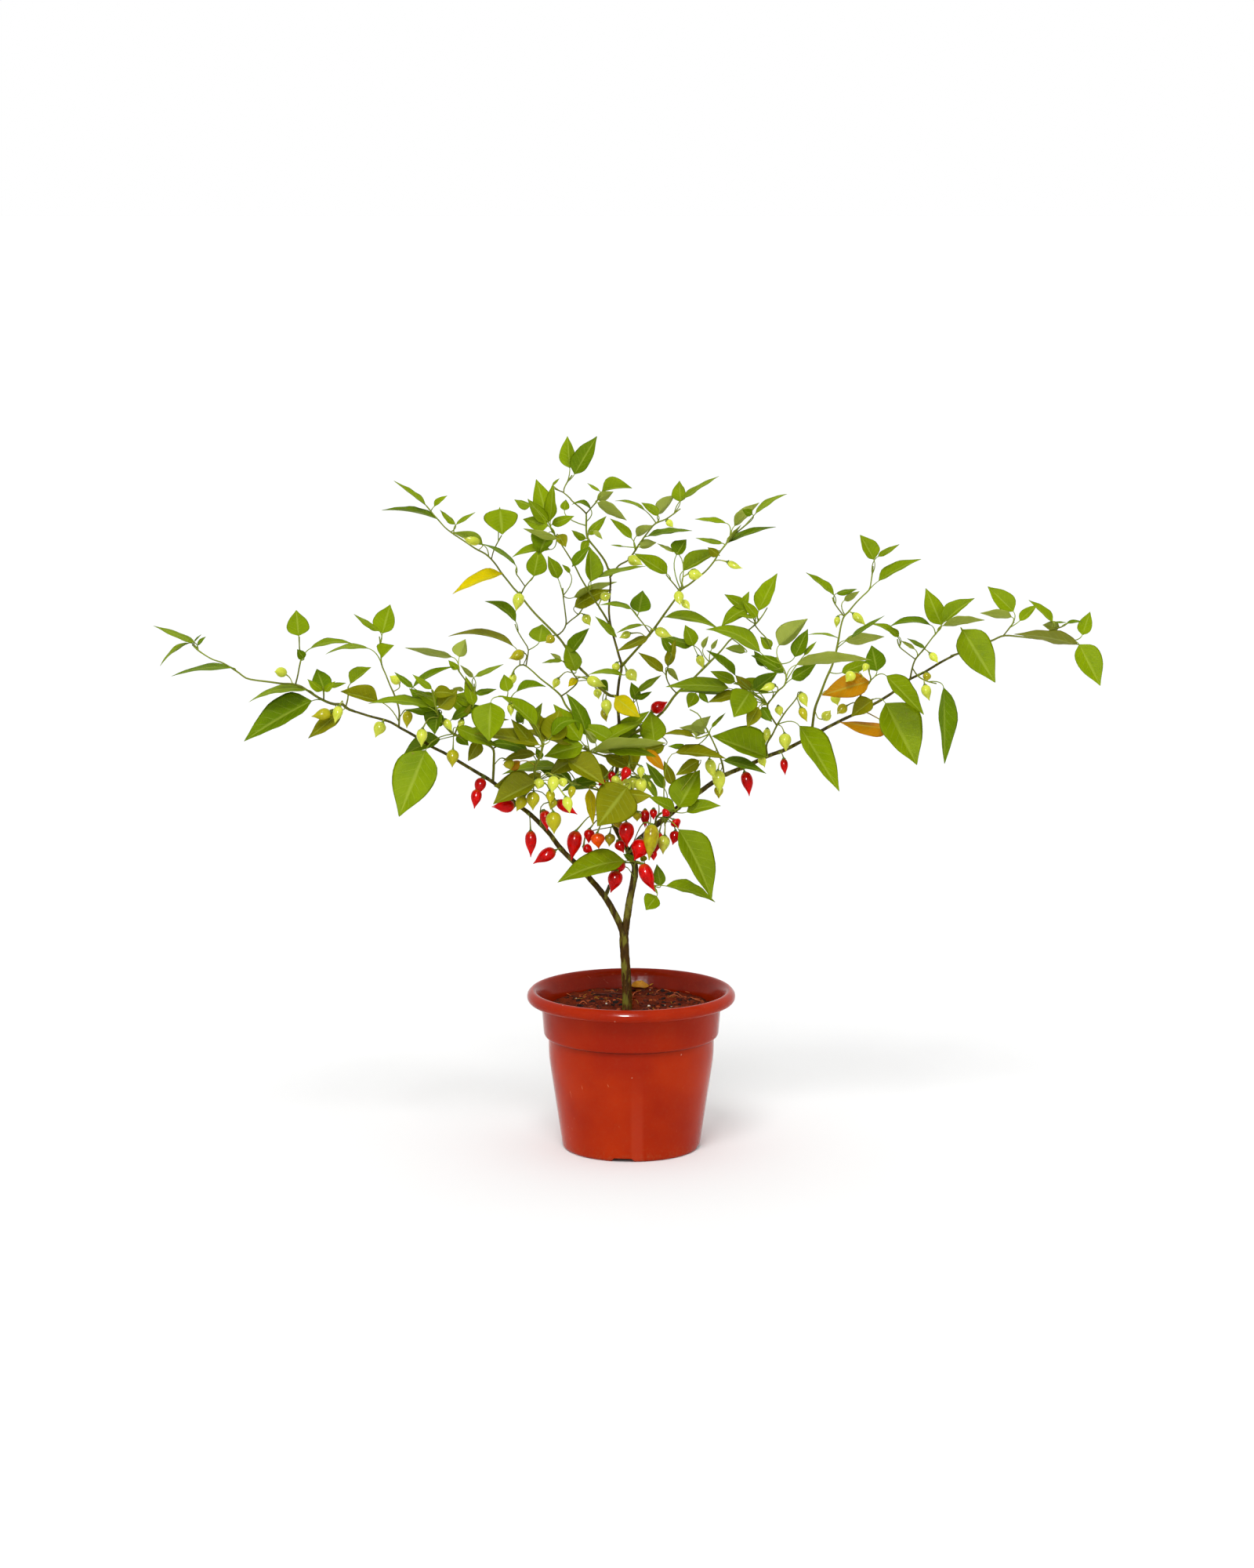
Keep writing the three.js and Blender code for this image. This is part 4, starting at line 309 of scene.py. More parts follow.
        [958,662,964,655,1005,630,4,5,4,-3,-12,1,0], [928,692,929,692,991,672,3,6,4,-4,-12,1,1],
        [926,695,926,694,946,669,0,3,2,-8,-6,-1,5], [846,786,849,787,918,803,5,11,4,-4,-12,1,0],
        [826,800,820,797,786,808,2,3,3,-3,-8,1,0], [829,810,828,812,786,831,0,6,6,-6,-12,1,2],
        [796,846,795,861,750,861,4,5,3,-10,-12,1,0]],
    "centre_right_c": [
        [812,785,815,781,820,753,0,13,14,3,30,1,1], [807,778,806,777,765,772,4,4,4,-3,-10,1,0]],
    "right_crown_c": [
        [848,862,846,857,814,832,0,8,5,-4,-10,1,2], [853,848,852,850,862,815,0,7,6,3,12,1,2],
        [850,862,852,852,866,869,0,4,4,-6,-4,-1,5], [857,834,855,832,843,811,0,5,5,8,6,1,1]],
    "right_crown": [
        [898,852,885,824,874,797,0,10,9,10,20,1,0], [898,852,884,823,842,811,0,5,8,14,12,1,1],
        [905,845,897,827,904,811,0,5,2,3,6,-1,5], [906,844,908,828,916,815,0,3,3,-3,5,-1,5],
        [962,797,955,776,920,800,3,11,8,4,-14,1,0], [962,797,952,777,924,758,0,9,6,6,12,1,0],
        [962,797,948,775,956,754,0,6,4,8,8,1,0], [966,793,966,787,947,765,0,7,6,-4,8,1,0],
        [966,793,965,788,937,784,0,3,3,-8,-6,1,0], [966,790,968,779,992,731,0,13,9,6,20,1,0],
        [935,815,951,832,925,827,0,8,3,-6,-8,-1,0], [880,872,888,884,878,903,0,9,8,-8,-8,1,0],
        [880,872,892,884,904,897,0,5,4,6,6,1,1], [795,938,781,948,829,907,0,14,9,-8,6,1,0],
        [824,927,835,947,830,907,0,17,17,-14,24,1,0], [824,927,848,951,813,962,0,8,8,-4,-6,1,2],
        [800,938,790,945,822,938,0,6,4,-2,6,1,1], [812,934,824,957,849,984,0,8,7,-8,-10,1,4],
        [800,938,802,946,808,985,0,14,14,-4,-8,1,2], [818,930,812,893,805,870,0,8,6,4,14,1,1],
        [818,930,813,892,832,882,0,4,4,2,6,1,1], [818,930,814,882,844,861,0,5,5,8,12,1,0]],
    "right_crown_b": [[983,822,983,828,970,812,0,8,6,0,6,1,0]],
    "right_inner": [
        [979,962,977,965,908,939,0,29,9,-8,-14,1,0],
        [994,923,1020,926,1071,1010,0,23,12,-8,-18,1,0]],
    "right_inner_b": [
        [990,838,970,832,900,803,9,14,8,-8,-14,1,0], [979,900,938,861,901,829,0,10,2,-6,8,1,1],
        [998,850,975,850,962,830,0,6,6,4,8,1,1], [990,838,994,823,1031,789,0,17,8,4,14,-1,5],
        [998,848,1014,838,1031,802,0,10,9,8,12,1,1], [1000,870,1026,836,1042,818,0,3,3,2,8,1,0],
        [1002,866,1016,848,1113,842,3,9,5,-6,-14,-1,5], [979,900,957,880,938,861,0,7,7,2,8,1,2],
        [993,881,962,880,993,857,0,11,7,4,12,1,1], [979,900,957,882,936,915,0,20,18,-12,-16,1,0],
        [979,900,940,884,903,896,0,8,6,-4,-8,1,2], [979,900,930,878,849,876,3,10,10,-2,8,1,0],
        [979,900,938,870,906,856,0,8,7,0,10,1,0], [979,900,968,902,953,928,0,10,9,-14,-10,1,2],
        [979,900,972,902,985,921,0,6,9,-6,-8,1,1], [1003,862,1000,858,958,836,2,10,8,6,-6,1,1],
        [1001,872,1010,866,1042,846,0,8,9,8,10,1,1], [979,900,984,880,935,872,2,10,9,5,14,1,0],
        [979,900,962,886,908,893,3,6,8,4,12,1,2], [979,900,930,885,862,883,4,7,6,6,14,1,0]],
    "inner_right": [
        [921,972,923,970,978,987,2,10,4,-6,-10,1,1], [905,937,888,940,907,913,0,14,4,4,10,-1,5],
        [897,923,900,935,866,928,0,8,4,6,8,-1,5], [905,938,886,940,845,937,3,5,3,-4,-8,1,2],
        [905,935,908,928,926,909,0,3,2,2,6,1,0], [905,938,876,954,852,952,0,5,3,8,8,1,1]],
    "low_right": [
        [847,1036,862,960,927,968,2,11,5,-6,-10,1,2], [848,1034,892,970,862,989,0,8,9,4,-6,1,2],
        [866,1032,866,1030,893,982,0,23,16,-4,20,1,0], [846,1036,858,1001,847,970,0,7,7,4,6,1,2],
        [864,1033,861,1033,827,1016,0,9,5,-6,-8,1,0],
        [868,1032,876,1036,920,1028,2,12,5,-6,-10,1,0],
        [838,1042,866,1058,908,1148,3,27,12,-26,-12,1,0], [846,1036,848,1006,824,972,0,7,7,8,8,1,1],
        [842,1039,838,1018,822,985,0,5,4,-2,6,1,0]],
    "low_spray_stem": [
        [822,1105,797,1098,711,1126,5,20,11,-8,-16,1,0],
        [814,1102,808,1098,795,1089,0,5,4,-6,-6,1,1], [823,1104,822,1099,818,1089,0,5,4,-6,-4,1,2],
        [838,1139,850,1130,913,1151,3,11,4,2,12,1,0], [838,1138,843,1130,838,1102,0,8,8,4,10,1,1],
        [838,1139,838,1143,824,1161,0,13,10,-6,-14,1,0]],
    "right_low": [
        [1112,866,1119,856,1112,823,0,14,13,2,28,1,1],
        [1110,869,1109,869,1048,887,0,17,14,4,-10,1,4],
        [1096,900,1113,893,1086,914,0,14,9,-10,-10,1,2],
        [1097,905,1136,930,1071,921,0,6,13,-12,-14,1,4],
        [1100,904,1130,897,1170,976,0,32,23,-18,-16,1,0],
        [1111,868,1131,862,1179,912,0,17,9,-10,-14,1,0]],
    "right_mid": [
        [1069,815,1068,813,1030,810,3,2,2,-3,-8,1,0], [1058,858,1074,858,1113,843,0,8,8,-6,-10,1,0],
        [1069,828,1078,817,1129,812,0,7,7,10,14,-1,5],
        [1068,826,1086,813,1129,785,0,3,3,-6,-10,1,1], [1078,784,1077,766,1097,754,0,4,5,-5,6,-1,5],
        [1114,722,1115,714,1097,682,0,14,8,3,16,1,0], [1114,720,1120,710,1148,694,0,4,4,-4,-8,1,0],
        [1109,752,1121,741,1176,713,2,10,4,-5,-14,1,0]],
    "right_mid_b": [
        [1062,762,1064,759,1028,730,0,9,2,3,10,1,0], [1064,768,1067,757,1094,751,0,3,5,-3,-8,1,1]],
    "right_upper": [
        [1201,799,1201,797,1181,750,0,13,14,3,20,1,0],
        [1202,798,1204,794,1244,763,1,15,3,-4,10,1,0],
        [1202,799,1203,798,1257,791,1,7,4,-10,-12,-1,5],
        [1192,808,1187,797,1134,800,6,6,4,6,12,1,1], [1178,829,1180,826,1157,814,0,3,4,-4,-8,1,1],
        [1170,838,1167,828,1149,817,0,3,3,3,4,1,5]],
    "right_upper_b": [
        [1145,815,1146,813,1110,796,4,5,4,2,10,1,0], [1145,815,1147,812,1130,800,0,6,4,-5,-4,1,0]],
    "right_upper_c": [[1195,872,1204,877,1205,975,0,19,8,-6,-12,1,1]],
    "right_tip": [
        [1236,829,1228,803,1270,871,0,23,22,-12,-14,1,0],
        [1371,820,1375,822,1293,809,3,8,6,-8,-12,-1,2],
        [1371,820,1381,810,1391,780,0,10,8,3,14,1,0],
        [1371,820,1377,822,1404,875,0,19,16,-6,-14,1,0]],
    "right_tip_b": [
        [1294,793,1293,780,1260,748,0,14,11,4,16,1,0],
        [1294,793,1291,787,1250,782,0,7,4,-4,-6,-1,5], [1295,792,1301,792,1324,771,0,8,4,-3,8,1,0]],
    "right_tip_c": [
        [1343,803,1343,794,1312,765,0,9,3,3,12,1,0], [1350,801,1352,800,1330,797,0,7,6,6,4,-1,5],
        [1347,803,1346,794,1361,794,0,1.5,1.5,2,6,1,1],
        [1362,795,1361,795,1382,793,1,3,2,-3,-8,1,1]],
}

# Fruit on each spray stem: the place on the stem, the shoulder and tip, the half width, in mm how
# far behind its root the shoulder lies and how far behind it the tip lies, and the ripeness (0 pale
# green, 1 olive, 2 orange, 3 red).
FRUITS = {
    "left_tip": [
        [376,873,363,859,350,857,6.5,-4,-16,0], [428,900,421,909,397,914,7.5,-14,-8,1],
        [438,900,433,901,427,923,6.5,-16,-6,0]],
    "left_twig_b": [[509,915,521,907,519,929,6.5,-4,-4,1], [503,884,509,870,497,862,6,-6,-8,0]],
    "left_mid": [
        [560,916,539,930,538,953,7,-8,-6,0], [578,938,578,957,577,979,8,-6,-8,1],
        [629,974,648,970,652,982,7,-6,-6,1], [570,927,568,918,577,933,5,-4,-2,0]],
    "left_mid_b": [[591,912,590,918,586,930,4.5,-5,-4,0]],
    "inner_left": [
        [655,897,651,898,652,914,4.5,-6,-4,0], [683,998,689,995,686,1007,7,-6,-8,0],
        [683,998,707,991,704,1012,7.5,-10,-10,0], [683,998,718,994,720,1004,6,2,-8,0],
        [676,1008,668,1016,659,1035,7.5,-10,-8,1], [678,1004,681,1011,680,1034,8.5,-16,-8,1],
        [683,998,702,1009,702,1025,6,-8,-8,1], [683,998,707,1020,702,1033,5.5,-2,-6,1],
        [683,998,722,1017,727,1038,6.5,-18,-8,0], [683,998,731,1003,728,1020,5,4,-6,1],
        [674,1010,706,1036,707,1064,10,-14,-6,1]],
    "mid_left": [[668,848,667,832,649,840,7,-6,-8,1], [654,858,655,860,651,876,5,4,-4,0]],
    "mid_left_side": [
        [731,860,712,866,706,879,5,6,-4,0], [737,869,750,866,773,876,7,-26,-6,0],
        [737,869,762,880,764,892,5.5,-4,-6,0]],
    "upper_left": [
        [612,702,612,690,588,683,7.5,-8,-8,0], [664,759,663,757,658,780,7.5,-8,-6,0],
        [708,810,705,812,696,820,6,-8,-6,1], [774,886,773,893,775,914,7,-8,-6,0],
        [772,885,770,905,774,921,5,2,-6,1]],
    "upper_left_c": [[738,784,746,785,753,798,6,-4,-6,0]],
    "crown_left": [[771,784,768,763,780,757,6,-6,-6,0]],
    "crown_right": [[807,708,803,713,820,721,7,-6,-10,0], [850,662,851,664,859,673,4.5,-5,-4,0]],
    "centre_right": [
        [822,812,803,808,790,814,5,-4,-6,0], [796,846,787,846,783,859,5.5,4,-4,0],
        [797,845,802,857,812,869,7.5,-6,-10,0], [872,750,880,731,897,733,7.5,-8,-8,0],
        [868,753,866,755,868,772,6.5,-10,-10,0], [868,753,871,767,880,778,5,-4,-8,0],
        [830,808,837,803,858,812,6.5,-10,-8,0], [912,714,929,717,948,725,4.5,-4,-6,0]],
    "right_crown": [[900,850,891,837,897,853,5.5,-6,-4,0]],
    "right_inner": [
        [992,924,1001,936,1003,959,8,-6,-6,0], [1000,910,993,901,996,914,5.5,-3,-4,0],
        [1022,882,1022,884,1030,902,6,-6,-6,0], [1022,882,1022,903,1030,921,5.5,-4,-6,1],
        [984,940,979,930,977,948,5,3,-6,0], [978,955,970,966,976,979,5.5,-5,-5,0]],
    "right_inner_b": [[986,890,988,874,970,880,5.5,-8,-6,0]],
    "inner_right": [
        [921,972,916,983,918,1013,8.5,-10,-6,0], [914,957,905,969,912,994,7,-2,-6,0],
        [918,980,917,1003,917,1019,6,4,-6,1]],
    "right_mid": [
        [1083,781,1089,783,1105,798,5.5,-6,-6,0], [1047,886,1064,886,1069,900,6.5,-10,-6,0],
        [1039,908,1052,917,1060,906,6.5,-8,-6,0]],
    "right_mid_b": [[1075,787,1069,787,1067,801,4,-4,-4,0]],
    "right_low": [
        [1103,878,1088,858,1079,870,7,-8,-6,0], [1107,850,1106,847,1101,857,4.5,-3,-5,0],
        [1094,899,1079,901,1068,911,6.5,-6,-8,1]],
    "right_upper": [[1178,829,1187,834,1197,846,5,-3,-6,0]],
    "right_upper_c": [
        [1180,869,1180,874,1186,894,6.5,-6,-5,0], [1172,863,1183,859,1183,869,5.5,4,-6,1]],
}

# Bunches: name, the stem each hangs from, its root's place, and fruit rows with no place on a stem.
BUNCHES = [
    ["pale_left_bunch", "left_lead", [490,922], [[488,922,479,941,8,-7,-5,0]]],
    ["pale_centre_bunch", "leader", [787,986], [
        [796,993,798,1019,9,-14,-4,0], [807,992,808,1008,6,-10,-4,0], [816,993,818,1016,8,-16,-4,0],
        [774,997,773,1008,6,-8,-4,0], [787,990,783,1004,6,-26,-4,0], [818,978,818,994,5,-22,-4,0],
        [826,997,830,1010,4,-12,-4,0]]],
    ["red_left_pair", "left_lead", [617,991], [
        [615,993,609,1015,7.5,-8,-5,3], [609,1007,605,1032,7,-12,-5,3]]],
    ["red_lead_a", "left_lead", [662,1028], [[656,1028,627,1029,8.5,-10,-6,3]]],
    ["red_lead_b", "left_lead", [675,1038], [[677,1060,677,1094,7.5,-8,-4,3]]],
    ["red_lead_c", "left_lead", [716,1083], [[708,1085,680,1102,8.5,-10,-5,3]]],
    ["red_left_cluster", "left_lead", [688,1050], [
        [694,1034,698,1060,7,-10,-4,3], [711,1022,737,1039,7,-14,-5,3]]],
    ["red_mid_cluster", "leader", [782,1047], [
        [735,1060,729,1098,9.5,-16,-4,3], [752,1058,751,1076,7,-10,-4,3],
        [762,1063,764,1083,9,-18,-4,2], [778,1064,777,1080,7,-12,-4,1],
        [745,1080,757,1087,6,-8,-4,3]]],
    ["red_centre_cluster", "leader", [800,1084], [
        [799,1049,800,1081,10,-24,-4,3], [788,1073,796,1088,7,-14,-4,3],
        [820,1072,809,1098,12,-22,-6,3], [833,1085,834,1098,5,-24,-4,3],
        [832,1052,828,1098,10,-27,-4,1], [787,1047,790,1057,6,-12,-3,1]]],
    ["red_right_cluster", "right_lead", [848,1045], [
        [841,1062,836,1090,7,-12,-4,3], [848,1066,846,1090,8,-16,-4,0],
        [862,1060,858,1078,7,-10,-4,3], [860,1046,866,1056,7,-14,-4,3],
        [852,1034,845,1041,6,-32,-3,3]]],
    ["red_fork_cluster", "right_lead", [828,1061], [
        [823,1033,823,1056,6,-5,-3,3], [834,1032,834,1046,5,-14,-3,3],
        [813,1036,813,1048,6,-12,-3,1]]],
    ["red_low_cluster", "right_lead", [808,1118], [
        [796,1100,778,1114,7,-8,-4,3], [787,1111,779,1139,9.5,-14,-5,3],
        [820,1102,836,1138,9,-24,-5,3]]],
    ["red_crown_single", "right_crown", [846,907], [[832,906,852,895,8,-8,-4,3]]],
    ["red_inner_bunch", "leader", [788,968], [
        [802,979,793,997,6.5,-30,-4,3], [770,994,764,1002,5.5,-22,-3,3],
        [781,984,779,999,5,-10,-4,3]]],
    ["red_right_a", "right_lead", [948,979], [[950,985,956,1016,7.5,-8,-5,3]]],
    ["red_right_b", "right_lead", [993,960], [[1000,968,1002,989,5,-6,-4,3]]],
]

# ---- Front view and small vector helpers, all in mm ----

CURVE_STEPS = 12


def unit(v):
    return v / np.linalg.norm(v)


def circle(count):
    """Evenly spaced angles round a circle."""
    return np.arange(count) * 2 * math.pi / count


def at(px, py, depth):
    """The point that is seen at a front-view place, at a depth."""
    ray = AWAY + (px - VIEW_CENTRE[0]) / FOCAL_PX * RIGHT + (VIEW_CENTRE[1] - py) / FOCAL_PX * UP
    return EYE + ray * ((depth - EYE[1]) / ray[1])


def seen(points):
    """Where points are seen in the front view."""
    offset = points - EYE
    away = offset @ AWAY
    return np.stack(
        [VIEW_CENTRE[0] + FOCAL_PX * (offset @ RIGHT) / away,
         VIEW_CENTRE[1] - FOCAL_PX * (offset @ UP) / away], axis=-1)


def view_scale(point):
    """Millimetres to one unit of the front view at a point."""
    return (point - EYE) @ AWAY / FOCAL_PX


def smooth(knots, shares):
    """A smooth curve's height at shares, through knots of (share, height)."""
    xs, ys = np.array(knots, float).T
    slopes = np.gradient(ys, xs)
    i = np.clip(np.searchsorted(xs, shares) - 1, 0, len(xs) - 2)
    step = xs[i + 1] - xs[i]
    t = (shares - xs[i]) / step
    return (
        (2 * t**3 - 3 * t**2 + 1) * ys[i]
        + (t**3 - 2 * t**2 + t) * step * slopes[i]
        + (3 * t**2 - 2 * t**3) * ys[i + 1]
        + (t**3 - t**2) * step * slopes[i + 1]
    )


def bezier(a, b, c, shares):
    """Points on the curve from a to c that b draws to itself."""
    t = shares[:, None]
    return (1 - t) ** 2 * a + 2 * t * (1 - t) * b + t**2 * c


def lengths(vectors):
    return np.linalg.norm(vectors, axis=1)


def tangents(points):
    """The unit direction of a line at each of its points."""
    steps = np.gradient(points, axis=0)
    return steps / lengths(steps)[:, None]


def through(points, step):
    """Evenly spaced points on a centripetal Catmull-Rom curve through points."""
    p = np.array([2 * points[0] - points[1], *points, 2 * points[-1] - points[-2]])
    dense = []
    for a, b, c, d in zip(p, p[1:], p[2:], p[3:]):
        k1 = np.linalg.norm(b - a) ** 0.5
        k2 = k1 + np.linalg.norm(c - b) ** 0.5
        k3 = k2 + np.linalg.norm(d - c) ** 0.5
        t = np.linspace(k1, k2, CURVE_STEPS, endpoint=False)[:, None]
        ab = (k1 - t) / k1 * a + t / k1 * b
        bc = (k2 - t) / (k2 - k1) * b + (t - k1) / (k2 - k1) * c
        cd = (k3 - t) / (k3 - k2) * c + (t - k2) / (k3 - k2) * d
        abc = (k2 - t) / k2 * ab + t / k2 * bc
        bcd = (k3 - t) / (k3 - k1) * bc + (t - k1) / (k3 - k1) * cd
        dense.append((k2 - t) / (k2 - k1) * abc + (t - k1) / (k2 - k1) * bcd)
    dense = np.vstack([*dense, points[-1][None]])
    run = np.concatenate([[0], np.cumsum(lengths(np.diff(dense, axis=0)))])
    count = max(3, int(round(run[-1] / step)) + 1)
    even = np.linspace(0, run[-1], count)
    return np.stack([np.interp(even, run, dense[:, k]) for k in range(3)], axis=1)


# ---- Meshes ----

WHITE = (1, 1, 1)


class Skin:
    """Closed forms that become one mesh. Each point keeps a tint, and a spot of three numbers for a
    material that reads one."""

    def __init__(self):
        self.points, self.faces, self.spots, self.tints, self.count = [], [], [], [], 0

    def add(self, points, faces, tint=WHITE, spots=None):
        self.points.append(points)
        self.faces += [tuple(i + self.count for i in face) for face in faces]
        self.spots.append(np.zeros((len(points), 3)) if spots is None else spots)
        self.tints.append(np.broadcast_to(np.asarray(tint, float), (len(points), 3)))
        self.count += len(points)

    def build(self, name, material, slot, node, sharp=False):
        mesh = bpy.data.meshes.new(name)
        mesh.from_pydata(np.vstack(self.points) * MM, [], self.faces)
        mesh.attributes.new("spot", "FLOAT_VECTOR", "POINT").data.foreach_set(
            "vector", np.vstack(self.spots).astype(np.float32).ravel())
        tints = np.hstack([np.vstack(self.tints), np.ones((self.count, 1))])
        mesh.attributes.new("tint", "FLOAT_COLOR", "POINT").data.foreach_set(
            "color", tints.astype(np.float32).ravel())
        mesh.polygons.foreach_set("use_smooth", [not sharp] * len(mesh.polygons))
        mesh.materials.append(material)
        mesh.validate()
        piece = bpy.data.objects.new(name, mesh)
        bpy.context.scene.collection.objects.link(piece)
        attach(piece, "root")
        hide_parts(node)


def loft(rings, tip=None, root=None):
    """Points and faces of a skin over rings of points, closed flat or in a point at each end."""
    count, size = rings.shape[:2]
    points = rings.reshape(-1, 3)
    i, j = np.meshgrid(np.arange(count - 1) * size, np.arange(size), indexing="ij")
    k = (j + 1) % size
    faces = np.stack([i + j, i + k, i + size + k, i + size + j], axis=-1).reshape(-1, 4).tolist()
    last = (count - 1) * size
    if tip is None:
        faces.append([last + n for n in range(size)])
    else:
        points = np.vstack([points, tip])
        faces += [[last + n, last + (n + 1) % size, count * size] for n in range(size)]
    if root is None:
        faces.append(list(range(size))[::-1])
    else:
        points = np.vstack([points, root])
        end = len(points) - 1
        faces += [[(n + 1) % size, n, end] for n in range(size)]
    return points, faces


def hoops(centres, radii, sides, start=None):
    """Rings round a centre line, which don't twist. Each has one radius, or one to a side."""
    along = tangents(centres)
    side = start
    if side is None:
        side = RIGHT if abs(along[0][0]) < 0.8 else UP
    angles = circle(sides)
    rings = []
    for centre, direction, radius in zip(centres, along, radii):
        side = unit(side - direction * (side @ direction))
        over = np.cross(direction, side)
        spokes = np.outer(np.cos(angles), side) + np.outer(np.sin(angles), over)
        rings.append(centre + spokes * np.reshape(radius, (-1, 1)))
    return np.array(rings)


def tube(skin, centres, radii, sides, tint):
    """A closed tube, with one tint or a row of tints, one to a ring."""
    points, faces = loft(hoops(centres, radii, sides))
    skin.add(points, faces, np.repeat(tint, sides, axis=0) if np.ndim(tint) == 2 else tint)


def colour(code):
    """Linear colour of a six-digit code."""
    c = np.array([int(code[i:i + 2], 16) / 255 for i in (0, 2, 4)])
    return np.where(c <= 0.04045, c / 12.92, ((c + 0.055) / 1.055) ** 2.4)


# ---- Stems ----

WOOD_RING_STEP = 3.2
TWIG_RING_STEP = 4.0
WOOD_SIDES = 12
TWIG_SIDES = 7
WOOD_TAPER_POWER = 1.5
KNOT_SWELL = 0.1
KNOT_SPREAD = 1.1
LARGEST_SWELL = 1.25
WOOD_UNEVENNESS = 0.035
TWIG_UNEVENNESS = 0.02
WOOD_RIBS = 3
WOOD_RIB_DEPTH = 0.03
WOOD_RIB_TURN = 0.11
# Tints at a stem's root and end: of the trunk, of the other wood and of twigs.
TRUNK_TINTS = (colour("5a3204"), colour("4c3608"))
WOOD_TINTS = (colour("4c3608"), colour("52500e"))
TWIG_TINTS = (colour("6a6c1a"), colour("8e9c30"))


class Stem:
    """A stem from a row of STEMS: its centre line, its radii and where it is seen."""

    def __init__(self, row):
        self.name, self.node, root_radius, end_radius, places = row
        self.wood = self.node == "woody_stems"
        points = np.array([at(*place) for place in places])
        self.centres = through(points, WOOD_RING_STEP if self.wood else TWIG_RING_STEP)
        rest = np.linspace(1, 0, len(self.centres)) ** (WOOD_TAPER_POWER if self.wood else 1)
        self.radii = end_radius + (root_radius - end_radius) * rest
        self.picture = seen(self.centres)
        self.knots = []

    def nearest(self, px, py):
        """The centre point and radius of the stem that are seen nearest to a place."""
        last = len(self.centres) - 2
        i = int(np.argmin(np.linalg.norm(self.picture[:last] - (px, py), axis=1)))
        self.knots.append(i)
        return self.centres[i], self.radii[i]


def stem_skin(skin, stem, draw):
    """A stem with swollen knots where its leaves grow, and a slightly uneven outline."""
    run = np.arange(len(stem.centres))
    radii = stem.radii.copy()
    for knot in stem.knots:
        radii += KNOT_SWELL * stem.radii * np.exp(-((run - knot) / KNOT_SPREAD) ** 2)
    radii = np.minimum(radii, LARGEST_SWELL * stem.radii)
    sides = WOOD_SIDES if stem.wood else TWIG_SIDES
    uneven = WOOD_UNEVENNESS if stem.wood else TWIG_UNEVENNESS
    rough = 1 + uneven * draw.normal(size=(len(radii), sides)).clip(-2, 2)
    tints = TWIG_TINTS
    if stem.wood:
        rough += WOOD_RIB_DEPTH * np.cos(WOOD_RIBS * circle(sides) + WOOD_RIB_TURN * run[:, None])
        tints = TRUNK_TINTS if stem.name == "trunk" else WOOD_TINTS
    share = np.linspace(0, 1, len(radii))[:, None]
    tint = tints[0] * (1 - share) + tints[1] * share
    tube(skin, stem.centres, radii[:, None] * rough, sides, tint)


# ---- Leaves ----

# (share of the blade's length, share of the greatest half width)
BLADE_OUTLINE = [
    (0, 0.03), (0.03, 0.2), (0.08, 0.52), (0.16, 0.83), (0.26, 0.98), (0.36, 1.0), (0.48, 0.93),
    (0.6, 0.8), (0.72, 0.59), (0.82, 0.37), (0.9, 0.2), (0.96, 0.09), (1, 0.015)]
BLADE_STATIONS = np.array(
    [0, 0.015, 0.05, 0.1, 0.17, 0.25, 0.33, 0.42, 0.51, 0.6, 0.69, 0.77, 0.85, 0.92, 0.97])
SMALL_STATIONS = np.array([0, 0.03, 0.1, 0.2, 0.32, 0.45, 0.58, 0.72, 0.85, 0.95])
BLADE_COLUMNS = np.array([-1, -0.86, -0.62, -0.36, -0.12, 0, 0.12, 0.36, 0.62, 0.86, 1])
BLADE_WIDTH_RATIO = 0.28
BLADE_THICKNESS = 0.42
SMALL_LEAF_LENGTH = 30
MIDRIB_GROOVE = 0.25
MIDRIB_RIDGE = 0.5
MIDRIB_HALF_WIDTH = 0.2
# How far a blade waves, cups and skews, in shares of its half width, and how often it waves.
WAVE_SHARES = (0.02, 0.05)
WAVE_COUNTS = (1.6, 3.2)
CUP_SHARES = (-0.02, 0.12)
SKEW_SHARES = (-0.05, 0.05)
PETIOLE_SIDES = 6
PETIOLE_RADII = (0.62, 0.42)
PETIOLE_STEPS = 7
PETIOLE_RUN_IN = 0.45
LONGEST_RUN_IN = 14
PETIOLE_OVERLAP = 0.8
# What a tone looks like: fresh, deep, olive, yellow, orange and pale.
LEAF_TINTS = [colour(c) for c in ("90a608", "6c8a04", "94920c", "e2d204", "d2960c", "acb850")]


def leaf_tint(tone, draw):
    """A tone's tint. The greens vary toward each other, and all vary in lightness."""
    mix = draw.uniform(0, 0.22)
    tint = LEAF_TINTS[tone]
    if tone <= 2:
        tint = tint * (1 - mix) + LEAF_TINTS[0 if tone == 1 else 1] * mix
    return tint * draw.uniform(0.9, 1.12)


